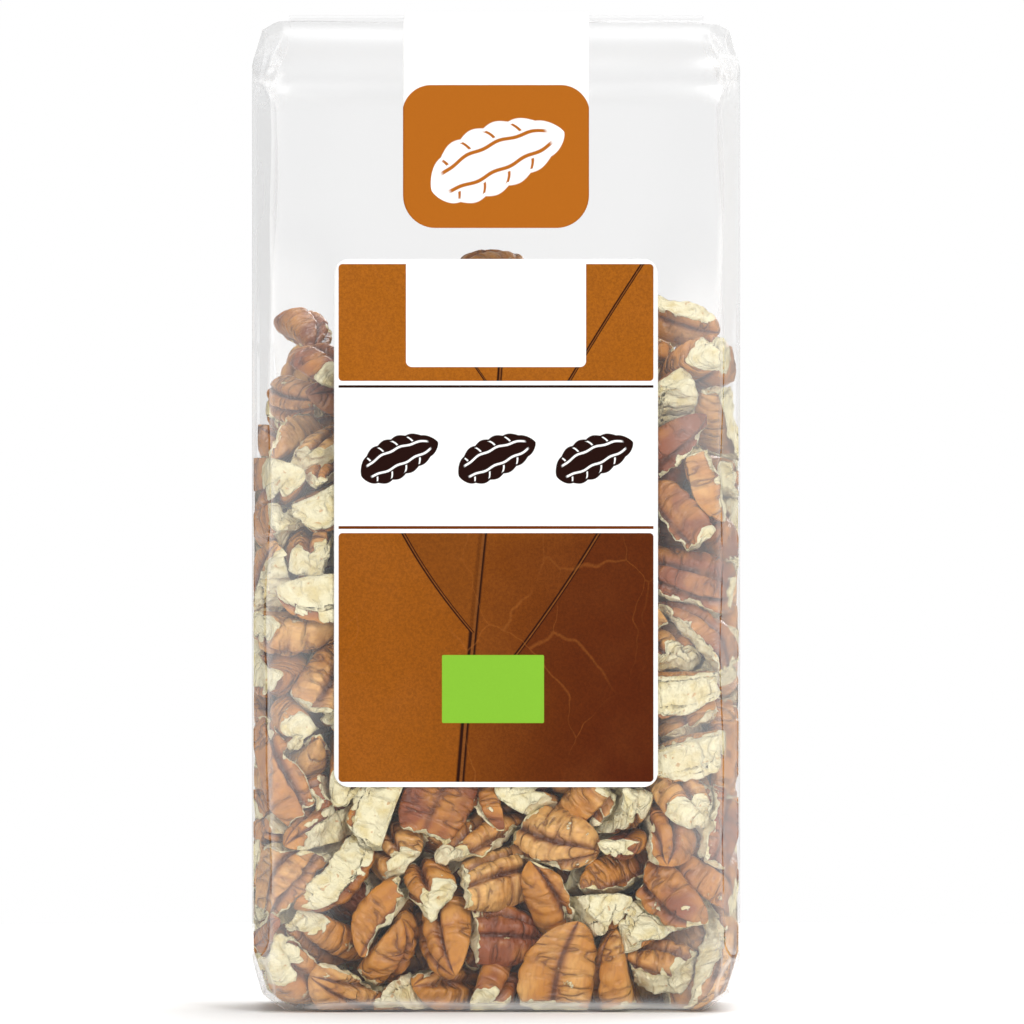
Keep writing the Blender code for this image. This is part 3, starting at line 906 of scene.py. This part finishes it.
def bagRings():
    # half width, half depth and height of each ring, from the base's middle to the slit's lips
    baseX, baseY = halfWide - packing["baseInsetX"], halfDeep - packing["baseInsetY"]
    rows = [(share * baseX, share * baseY, 0.0) for share in np.linspace(0.04, 0.96, 14)]
    for turn in np.linspace(0, math.pi / 2, film["rimTurns"]):
        bend = 1 - math.sin(turn)
        x, y = halfWide - packing["baseInsetX"] * bend, halfDeep - packing["baseInsetY"] * bend
        rows.append((x, y, packing["baseRise"] * (1 - math.cos(turn))))
    shoulder = film["top"] - film["crown"] - film["shoulderRise"]
    levels = np.concatenate([np.arange(11.5, 22, 0.5), np.arange(22, 176, 1.7), np.arange(176, 188, 0.5)])
    rows += [(halfWide, halfDeep, z * mm) for z in levels]
    for turn in np.linspace(0, math.pi / 2, film["rimTurns"]):
        x = halfWide - film["shoulderInsetX"] * (1 - math.cos(turn)) ** 1.6
        y = halfDeep - film["shoulderInsetY"] * (1 - math.cos(turn))
        rows.append((x, y, shoulder + film["shoulderRise"] * math.sin(turn)))
    lastX, lastY = halfWide - film["shoulderInsetX"], halfDeep - film["shoulderInsetY"]
    for share in np.linspace(0.05, 1, 16):
        y = lastY + (film["flapHalf"] - lastY) * share
        rows.append((lastX, y, film["top"] - film["crown"] * (1 - share)))
    return np.array(rows)


def crumpled(u, v, size, seed):
    # flat facets between random heights on a triangular grid, and how near the next fold line is
    heights = np.random.default_rng(seed).uniform(-1, 1, (64, 64))
    p = (u + 0.58 * v) / size
    q = 1.15 * v / size
    i, j = np.floor(p).astype(int), np.floor(q).astype(int)
    p, q = p - i, q - j
    right = p > q
    first = heights[i % 64, j % 64]
    last = heights[(i + 1) % 64, (j + 1) % 64]
    side = np.where(right, heights[(i + 1) % 64, j % 64], heights[i % 64, (j + 1) % 64])
    high, low = np.maximum(p, q), np.minimum(p, q)
    level = first * (1 - high) + side * (high - low) + last * low
    return level, np.minimum(np.minimum(1 - high, high - low), low) * size


def makeFilm(material):
    # One closed skin on a grid: rings of the bag from the base up to the slit, then the flap, whose
    # rings lean back round the fold and run on to the rear. Creases and crumples go inwards only.
    rows = bagRings()
    sides = film["sides"]
    plan = [planOutline(x, y, sides) for x, y, _ in rows]
    x = np.array([outline[0] for outline in plan])
    y = np.array([outline[1] for outline in plan])
    z = np.broadcast_to(rows[:, 2:3], x.shape).copy()
    skin = np.stack([x, y, z], axis=-1)
    around = np.roll(skin, -1, axis=1) - np.roll(skin, 1, axis=1)
    alongSkin = np.gradient(skin, axis=0)
    normal = np.cross(around, alongSkin)
    normal /= np.maximum(np.linalg.norm(normal, axis=-1, keepdims=True), 1e-12)
    edge = np.maximum(halfWide - np.abs(x), halfDeep - np.abs(y))
    wander = film["wander"] * waves(skin, 41, 34 * mm)
    nearEnd = np.maximum(z - 182 * mm, 15 * mm - z) / (7 * mm)
    spare = 3.6 * mm * np.clip(nearEnd, 0, 1) ** 2
    side = np.sign(skin)
    flat = np.abs(skin)
    folds, paneShade = np.zeros(z.shape), np.zeros(z.shape)
    for number, (planeNormal, offset, pane) in enumerate(foldPlanes()):
        past = flat @ planeNormal - offset
        past = past - (wander + spare if number == 0 else 0.3 * wander)
        if number == 0:
            strip = past
        else:
            folds = np.maximum(folds, np.exp(-((past / (0.16 * mm)) ** 2)) * (z > 0.5 * mm))
            # painted shade: each facet past a fold takes its cut's shade
            paneShade = np.where(past > 0, pane, paneShade)
        flat = flat - planeNormal * np.maximum(past, 0)[..., None]
    strip = strip - 5 * mm * np.clip(paneShade * 9, 0, 1) * (strip > -1 * mm)
    skin = flat * np.where(side == 0, 1, side)
    inwards, crease = filmDents(skin)
    skin = skin - normal * inwards[..., None]
    skin[..., 2] = np.maximum(skin[..., 2], 0)
    # painted highlight: the lines of the cut folds add to it
    crease = np.maximum(crease, 0.8 * folds * np.clip((199 * mm - z) / (6 * mm), 0, 1))
    # milky haze with a painted reflection of the lamps: strong near the upright edges and fading towards the
    # top, and along the base
    sideHazeAndSheen = np.exp(-((edge / film["sheenHazeSide"]) ** 4)) * (0.9 + 0.2 * waves(skin, 47, 26 * mm))
    sideHazeAndSheen = sideHazeAndSheen * np.clip((film["sheenHazeTop"] - z) / film["sheenHazeFade"], 0.12, 1)
    lowHazeAndSheen = 0.8 * np.exp(-((z / film["sheenHazeBase"]) ** 4))
    hazeAndSheen = np.clip(np.maximum(sideHazeAndSheen, lowHazeAndSheen), 0, 1)
    flapX, flapY = planOutline(rows[-1, 0], film["flapHalf"], sides)
    leans = np.concatenate([np.linspace(0.15, math.pi / 2, 9), np.full(20, math.pi / 2)])
    runs = np.concatenate([np.zeros(9), np.linspace(0, film["flapLength"], 21)[1:]])
    lean, run = leans[:, None], runs[:, None]
    lift = film["flapLift"] * np.sin(flapX / (11 * mm) + 1) * run / (20 * mm)
    flap = np.stack([
        np.broadcast_to(flapX, (len(leans), sides)),
        film["foldRadius"] * (1 - np.cos(lean)) + run + flapY * np.cos(lean),
        film["top"] + film["foldRadius"] * np.sin(lean) - flapY * np.sin(lean) + lift,
    ], axis=-1)
    rings = len(rows) + len(leans)
    tips = np.array([[0, 0, 0], [0, flap[-1, :, 1].mean(), flap[-1, :, 2].mean()]])
    points = np.concatenate([skin.reshape(-1, 3), flap.reshape(-1, 3), tips])
    quads, fans = tubeFaces(rings, sides)
    extra = flap.shape[0] * sides + 2
    attributes = {
        "hazeAndSheen": np.append(hazeAndSheen.ravel(), np.full(extra, 0.1)),
        "crease": np.append(crease.ravel(), np.full(extra, 0.0)),
        "strip": np.append(strip.ravel(), np.full(extra, -10 * mm)),
        "paneShade": np.append(paneShade.ravel(), np.full(extra, 0.0)),
        "flap": np.append(np.zeros(hazeAndSheen.size), np.full(extra, 1.0)),
    }
    piece = newPiece("film_skin", points, quads.tolist() + fans.tolist(), material, attributes)
    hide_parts("film_bag")
    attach(piece, "root")
    print("film:", rings, "rings of", sides)


filmFinish = {
    "clear": tint(90, 92, 95),
    # the colour of the film's haze, of its painted reflections and of its painted crease highlights
    "milkySheen": tint(244, 244, 244),
    # painted shade: the panes past the upright folds are darker on the left, away from the key lamp, than on
    # the right
    "paneShadeLeft": tint(212, 213, 215),
    "paneLitRight": tint(252, 252, 252),
    "veil": 0.06,  # opacity of one wall where it is clearest
    "sheenHazeVeil": 0.13,
    # painted shade: the opacity of the panes and facets past the folds
    "paneShadeVeil": 0.22,
    # painted highlight: the opacity of the milky crease lines
    "creaseHighlight": 0.32,
    "roughness": 0.4,
    "glossRoughness": 0.3,
    "glossAhead": 0.025,  # share of gloss seen head on, and what is added edge on
    "glossAside": 0.16,
    "onFlap": 0.35,  # how much of the veil and the gloss the flap has
    "nutsTop": 132 * mm,  # the panes are thinner below this
    "seam": 0.5 * mm,  # the clear line past each upright fold
    "ribPitch": 1 * mm,
}


def makeFilmMaterial():
    # Opacity is veil + sheenHazeVeil * hazeAndSheen + paneShadeVeil * pane + creaseHighlight * crease, where
    # pane is 1 past the fold beside an upright edge, less what the clear seam along that fold takes off over
    # the nuts. The veil is grey. The haze is the film's milkiness with a painted reflection of the lamps,
    # the creases are painted milky highlights, and the panes are painted shade between them. The share of
    # gloss over it all grows with the fourth power of facing away. The flap is ribbed where its rear lies
    # flat.
    material, tree, shader, place = newMaterial("clearFilm")
    look = filmFinish
    x, y, z = parted(place)
    strip, flap = named(tree, "strip"), named(tree, "flap")
    # painted reflection: the haze is the film's milkiness with the lamps' reflection painted in along the
    # upright edges and the base
    hazeAndSheen = named(tree, "hazeAndSheen") * ramp(noise(place, 60, 2), 0.3, 0.7, 0.8, 1.15) * look["sheenHazeVeil"]
    # painted shade: a grey veil on the strip past the fold beside each upright edge, and on the facets past
    # the other folds
    pane = ramp(strip, -0.03 * mm, 0.05 * mm)
    # painted highlight: a light band just before each upright fold
    beside = ramp(strip, -1.1 * mm, -0.05 * mm) * (1 - pane)
    overNuts = ramp(z, look["nutsTop"], look["nutsTop"] + 14 * mm, 1.0, 0.0)
    gaps = ramp(noise(scaled(place, (0, 0, 1)), 70, 2), 0.42, 0.5)
    seam = pane * ramp(strip, look["seam"], look["seam"] + 0.15 * mm, 1.0, 0.0) * gaps * overNuts
    pane = larger(pane, named(tree, "paneShade"))
    hazeAndSheen = hazeAndSheen * (1 - pane)
    pane = pane * ramp(overNuts, 0.0, 1.0, 1.0, 0.8) * look["paneShadeVeil"]
    # painted highlight: milky lines on the creases, with the light band before each upright fold
    crease = (named(tree, "crease") + beside * 0.22) * look["creaseHighlight"]
    thin = ramp(flap, 0.0, 1.0, 1.0, look["onFlap"])
    opacity = (hazeAndSheen + pane + (crease + look["veil"])) * (thin - seam * 0.95)
    colour = blend(ramp(hazeAndSheen + crease, 0.0, 0.12), look["clear"], look["milkySheen"])
    # painted shade: the panes are darker grey on the left than on the right
    paneShadeColour = blend(ramp(x, -mm, mm), look["paneShadeLeft"], look["paneLitRight"])
    colour = blend(ramp(pane, 0.0, 0.12), colour, paneShadeColour)
    ribs = sine(y * (2 * math.pi / look["ribPitch"])) * (ramp(y, 9 * mm, 10 * mm) * flap)
    bump = bumped(noise(place, 110, 2) + ribs, 0.16, 0.25 * mm)
    feed(shader, baseColor=colour, alpha=opacity, normal=bump)
    shader.inputs["Roughness"].default_value = look["roughness"]
    inputs = {"Color": (1, 1, 1, 1), "Roughness": look["glossRoughness"], "Normal": bump}
    gloss = node(tree, "BsdfGlossy", inputs)
    aside = Signal(node(tree, "LayerWeight", {"Blend": 0.5, "Normal": bump}).outputs["Facing"])
    mirror = (aside ** 4.0 * look["glossAside"] + look["glossAhead"]) * thin
    mixed = node(tree, "MixShader", {0: mirror, 1: Signal(shader.outputs[0]), 2: Signal(gloss.outputs[0])})
    tree.links.new(mixed.outputs[0], tree.nodes["Material Output"].inputs["Surface"])
    return material


paper = {
    "thickness": 0.22 * mm,
    "off": 0.05 * mm,  # from the film
    "columns": 60,
    "rowStep": 1.0 * mm,
    "frontCorner": 3.0 * mm,
    "closureCorner": 6.5 * mm,
    "white": (0.93, 0.93, 0.92, 1),
    "roughness": 0.5,
    "specular": 0.06,
}


def paperStrip(name, path, width, corner, material):
    # A strip of paper carried along a path of (y, z) points, its outer side on the left. A point is
    # path(run) + across * half(run) + outwards * thickness, and half shrinks at round corners.
    path = np.array(path)
    steps = np.hypot(*np.diff(path, axis=0).T)
    run = np.concatenate([[0], np.cumsum(steps)])
    ends = corner * (1 - np.cos(np.linspace(0, math.pi / 2, 13)))
    between = np.arange(corner, run[-1] - corner, paper["rowStep"])[1:]
    stops = np.concatenate([ends, between, run[-1] - ends[::-1]])
    y, z = np.interp(stops, run, path[:, 0]), np.interp(stops, run, path[:, 1])
    slope = np.gradient(np.stack([y, z]), stops, axis=1)
    slope /= np.linalg.norm(slope, axis=0)
    fromEnd = np.minimum(stops, run[-1] - stops)
    drop = corner - np.sqrt(np.maximum(corner**2 - np.maximum(corner - fromEnd, 0) ** 2, 0))
    across = np.linspace(-1, 1, paper["columns"])
    x = (width / 2 - drop)[:, None] * across
    back = np.stack([x, np.broadcast_to(y[:, None], x.shape), np.broadcast_to(z[:, None], x.shape)], axis=-1)
    out = np.stack([np.zeros(len(y)), -slope[1], slope[0]], axis=-1)[:, None, :]
    front = back + out * paper["thickness"]
    grid = np.concatenate([back, front[:, ::-1]], axis=1)
    rings, sides = grid.shape[:2]
    quads, _ = tubeFaces(rings, sides)
    j = np.arange(paper["columns"] - 1)
    low = np.stack([j + 1, j, sides - 1 - j, sides - 2 - j], axis=-1)
    high = (rings - 1) * sides + low[:, ::-1]
    faces = np.concatenate([quads, low, high])
    piece = newPiece(name, grid.reshape(-1, 3), faces.tolist(), material)
    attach(piece, "root")
    return piece


def makeFrontLabel(material):
    y = -halfDeep - paper["off"]
    path = [(y, frontLow.z), (y, frontHigh.z)]
    piece = paperStrip("front_paper", path, 2 * frontHigh.x, paper["frontCorner"], material)
    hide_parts("front_label")


def makeClosureLabel(material):
    # up the front, over the shoulder and the folded flap, and down the back
    off = paper["off"]
    wall = halfDeep + off
    shoulder = film["top"] - film["crown"] - film["shoulderRise"]
    path = [(-wall, closureLow.z)]
    for turn in np.linspace(0, math.pi / 2, 16):
        y = halfDeep - film["shoulderInsetY"] * (1 - math.cos(turn)) + off * math.cos(turn)
        path.append((-y, shoulder + (film["shoulderRise"] + off) * math.sin(turn)))
    flapTop = film["top"] + film["foldRadius"] + film["flapHalf"] + film["flapLift"] + 2 * off
    fold = film["flapHalf"] + off
    path += [(-8 * mm, film["top"] - 0.25 * mm + off), (-fold - 2.5 * mm, film["top"] + off + 0.05 * mm)]
    for turn in np.linspace(0.25, math.pi / 2, 7):
        reach = film["foldRadius"] + film["flapHalf"] + off
        path.append((film["foldRadius"] - reach * math.cos(turn), film["top"] + reach * math.sin(turn)))
    flapEnd = film["flapLength"] + film["foldRadius"]
    path += [(3 * mm, flapTop), (flapEnd - 1 * mm, flapTop), (flapEnd + 0.6 * mm, flapTop - 0.5 * mm)]
    for turn in np.linspace(0.95, 0, 12):
        y = halfDeep - film["shoulderInsetY"] * (1 - math.cos(turn)) + 2 * off * math.cos(turn)
        path.append((y, shoulder + (film["shoulderRise"] + 2 * off) * math.sin(turn)))
    path.append((wall, closureLow.z + 2.5 * mm))
    piece = paperStrip("closure_paper", path, 2 * closureHigh.x, paper["closureCorner"], material)
    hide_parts("closure_label")


def panelMask(x, z, centre, half, corner, soft=0.07 * mm):
    # 1 inside a rounded rectangle, from the distance to it
    across = larger(abs(x - centre[0]) - (half[0] - corner), 0.0)
    up = larger(abs(z - centre[1]) - (half[1] - corner), 0.0)
    return ramp(maths("SQRT", across * across + up * up), corner - soft, corner + soft, 1.0, 0.0)


def veinOffset(x, z, low, high, bend):
    # x - f(z), where f runs from low to high, two (x, z) points, with a bend between them
    share = (z - low[1]) / (high[1] - low[1])
    offset = x - (share * (high[0] - low[0]) + low[0] + share * (1 - share) * bend)
    return offset, ramp(share, -0.01, 0.0) * ramp(share, 1.0, 1.01, 1.0, 0.0)


def kernelMark(x, z, centre, halfLength, halfWidth):
    # A plain drawing of a kernel, leaning: an egg-shaped oval with a scalloped rim, less two long
    # wavering grooves that stop short of the tips and short bent wrinkles across its ridges.
    # u runs along it and w across it, each from -1 to 1, and the rim is at (1 - |u|^2.3)^0.6.
    lean = math.radians(24)
    x, z = x - centre[0], z - centre[1]
    u = x * (math.cos(lean) / halfLength) + z * (math.sin(lean) / halfLength)
    w = z * (math.cos(lean) / halfWidth) - x * (math.sin(lean) / halfWidth) + u * u * 0.14
    reach, side = abs(u) ** 2.3, abs(w)
    taper = larger(1 - reach, 0.0) ** 0.6 * (1 - u * 0.15)
    inside = taper * (abs(sine(u * 9.0)) * 0.09 + 0.91) - side
    rail = side - (taper * 0.38 + sine(u * 13.0) * 0.03)
    long = ramp(abs(rail), 0.035, 0.07, 1.0, 0.0) * ramp(reach, 0.5, 0.62, 1.0, 0.0)
    short = ramp(sine(u * 17.0 + rail * rail * 9.0), 0.9, 0.98) * ramp(rail, 0.1, 0.14)
    short = short * ramp(inside, 0.1, 0.14) * ramp(reach, 0.4, 0.55, 1.0, 0.0)
    return ramp(inside, 0.0, 0.04) * (1 - larger(long, short))


def finishPaper(tree, shader, place, colour):
    # the print's colour with faint fibre mottling, and fine paper bump
    fibre = ramp(noise(place, 2600, 3, 0.7), 0.2, 0.8, 0.965, 1.0)
    fibre = Signal(node(tree, "CombineColor", {0: fibre, 1: fibre, 2: fibre}).outputs[0])
    feed(shader, baseColor=blend(1.0, colour, fibre, "MULTIPLY"),
         normal=bumped(noise(place, 1400, 4), 0.18, 0.08 * mm))
    shader.inputs["Roughness"].default_value = paper["roughness"]
    shader.inputs["Specular IOR Level"].default_value = paper["specular"]


inkStrength = 0.82  # the studio is a little brighter than the prints are meant to be seen in
frontPrint = {
    "upper": tint(190, 110, 24, inkStrength),
    "left": tint(168, 94, 18, inkStrength),
    "right": tint(112, 52, 10, inkStrength),
    "low": tint(92, 34, 6, inkStrength),
    "inner": tint(138, 74, 18, inkStrength),
    "vein": tint(44, 16, 4, inkStrength),
    "veinLight": tint(186, 110, 46, inkStrength),
    "ink": tint(36, 10, 4, inkStrength),
    "rule": tint(112, 50, 8, inkStrength),
    "patch": tint(140, 199, 56, inkStrength),
    "halfWidth": 31.5 * mm,
    "lowerField": (46.2 * mm, 96.0 * mm),
    "upperField": (126.4 * mm, 149.8 * mm),
    "window": (18.0 * mm, 129.2 * mm),  # half width and lower edge
    "rules": ((125.3 * mm, 0.26 * mm, "ink"), (97.1 * mm, 0.3 * mm, "rule")),  # height and half thickness
    "patchAt": ((-0.6 * mm, 64.8 * mm), (10.2 * mm, 6.8 * mm)),  # middle and half sizes
    "marks": (-19.5 * mm, 0.0, 19.5 * mm),
    "marksAt": 111.3 * mm,
    "markSize": (8.4 * mm, 4.2 * mm),  # half length and half width
    # for each vein its ends, bend and width in mm, and what the leaf is like beside it
    "veins": (
        ((-7.2, 46), (-2.6, 96), -0.6, 0.85, None),
        ((-4.8, 76.2), (-18.8, 96.4), -3.2, 0.45, "inner"),
        ((4.0, 71.6), (20.8, 96.4), 2.0, 0.5, "low"),
        ((14.4, 126), (29.4, 150), -0.8, 0.4, None),
        ((0.6, 126), (0.9, 130), 0.0, 0.5, None),
        ((-1.8, 126), (-4.6, 130), 0.0, 0.3, None),
    ),
}


def drawVeins(field, x, z):
    # Each vein is a dark line with a light one inside it. The leaf is darker to the right of the
    # midrib, the first vein, and beside the two veins that branch from it.
    look = frontPrint
    leftOf = None
    for low, high, bend, width, shade in look["veins"]:
        low, high = ([value * mm for value in end] for end in (low, high))
        offset, within = veinOffset(x, z, low, high, bend * mm)
        width = width * mm
        if leftOf is None:
            leftOf = ramp(offset, -0.2 * mm, 0.2 * mm, 1.0, 0.0)
            under = (1 - leftOf) * ramp(z, 92 * mm, 98 * mm, 1.0, 0.0) * 0.3
            field = blend(under, field, look["low"])
        beyond = ramp(offset, 0.0, 0.3 * mm)
        if shade == "inner":
            field = blend(beyond * within * leftOf * 0.75, field, look[shade])
        if shade == "low":
            beyond = beyond * ramp(z, 60 * mm, 72 * mm) * ramp(z, 96 * mm, 97 * mm, 0.5, 0.0)
            field = blend(beyond, field, look[shade])
        line = ramp(abs(offset), width * 0.7, width * 1.3, 1.0, 0.0)
        glint = ramp(abs(offset - width * 0.15), width * 0.15, width * 0.5, 0.5, 0.0)
        field = blend(line * within, field, look["vein"])
        field = blend(glint * within, field, look["veinLight"])
    return field


def makeFrontPrint():
    # two leaf-brown fields with veins, darker to the right and downwards, white paper between and
    # around them, two rules, a blank white window, a plain green patch and three kernel marks
    material, tree, shader, place = newMaterial("frontPrint")
    look = frontPrint
    x, _, z = parted(place)
    wide = look["halfWidth"]
    field = blend(ramp(x, -26 * mm, 30 * mm), look["left"], look["right"])
    lower = ramp(z, 46 * mm, 92 * mm, 1.0, 0.0) * ramp(x, -14 * mm, 30 * mm)
    field = blend(lower, field, look["low"])
    field = blend(ramp(z, 118 * mm, 128 * mm) * 0.85, field, look["upper"])
    field = blend(ramp(noise(place, 60, 4), 0.35, 0.8, 0.0, 0.25), field, look["veinLight"])
    field = drawVeins(field, x, z)
    swayed = scaled(noise(place, 55, 3, 0.5, "Color"), (12 * mm, 0, 12 * mm))
    swayed = Signal(node(tree, "VectorMath", {0: place, 1: swayed}, operation="ADD").outputs[0])
    hairs = ramp(cellEdge(scaled(swayed, (1, 0, 0.7)), 50), 0.0, 0.008, 1.0, 0.0)
    hairs = hairs * ramp(noise(place, 45, 2), 0.4, 0.62, 0.0, 0.28)
    field = blend(hairs, field, look["veinLight"])
    field = blend(ramp(noise(place, 2200, 2, 0.8), 0.25, 0.75, 0.0, 0.32), field, look["vein"])
    colour = paper["white"]
    for low, high in (look["lowerField"], look["upperField"]):
        mask = panelMask(x, z, (0, (low + high) / 2), (wide, (high - low) / 2), 0.8 * mm)
        colour = blend(mask, colour, field)
    windowHalf, low = look["window"]
    high = frontHigh.z
    mask = panelMask(x, z, (0, (low + high) / 2), (windowHalf, (high - low) / 2), 1.2 * mm)
    colour = blend(mask, colour, paper["white"])
    for level, half, ink in look["rules"]:
        colour = blend(panelMask(x, z, (0, level), (wide, half), 0.1 * mm), colour, look[ink])
    colour = blend(panelMask(x, z, *look["patchAt"], 0.3 * mm), colour, look["patch"])
    for middle in look["marks"]:
        mark = kernelMark(x, z, (middle, look["marksAt"]), *look["markSize"])
        colour = blend(mark, colour, look["ink"])
    finishPaper(tree, shader, place, colour)
    return material


closurePrint = {
    "brown": tint(190, 108, 26, inkStrength),
    "markSize": (14.5 * mm, 7.0 * mm),
    "panelTop": 185.4 * mm,
    "panelCorner": 5.8 * mm,
    "bleed": (0.15 * mm, 0.2 * mm),  # how far the panel runs past the paper's sides and its lower edge
}


def makeClosurePrint():
    # white paper whose lower front end is a brown panel with one white kernel mark
    material, tree, shader, place = newMaterial("closurePrint")
    look = closurePrint
    x, y, z = parted(place)
    front = ramp(y, 0.0, 1 * mm, 1.0, 0.0)
    low, high = closureLow.z, look["panelTop"]
    centre = (0, (low + high) / 2)
    half = (closureHigh.x + look["bleed"][0], (high - low) / 2 + look["bleed"][1])
    mask = panelMask(x, z, centre, half, look["panelCorner"])
    colour = blend(mask * front, paper["white"], look["brown"])
    colour = blend(kernelMark(x, z, centre, *look["markSize"]) * front, colour, paper["white"])
    finishPaper(tree, shader, place, colour)
    return material


def makeFloor():
    # a pale round table top under the packet, with a rounded rim
    turns = np.linspace(0, math.pi / 2, 7)
    rim, radius, sides = studio["floorRim"], studio["floorRadius"], 96
    reach = np.concatenate([[radius * 0.5, radius - rim], radius - rim + rim * np.sin(turns[1:]), [radius]])
    level = np.concatenate([[0, 0], -rim * (1 - np.cos(turns[1:])), [-3 * rim]])
    turn = 2 * math.pi * np.arange(sides) / sides
    reach, level, turn = np.broadcast_arrays(reach[:, None], level[:, None], turn)
    grid = np.stack([reach * np.cos(turn), -reach * np.sin(turn), level], axis=-1)
    points = np.concatenate([grid.reshape(-1, 3), [[0, 0, 0], [0, 0, -3 * rim]]])
    material, _, shader, place = newMaterial("paleTable")
    cloud = ramp(noise(place, 6, 2), 0.3, 0.7)
    feed(shader, baseColor=blend(cloud, studio["floorPale"], studio["floorWhite"]))
    shader.inputs["Roughness"].default_value = 0.75
    quads, fans = tubeFaces(*grid.shape[:2])
    newPiece("floor", points, quads.tolist() + fans.tolist(), material)


kernelSkin = makeKernelMaterial()
fillBag(kernelSkin)
layTopPieces(kernelSkin)
print("kernels: done")
makeFilm(makeFilmMaterial())
makeFrontLabel(makeFrontPrint())
makeClosureLabel(makeClosurePrint())
makeFloor()
print("labels and floor: done")
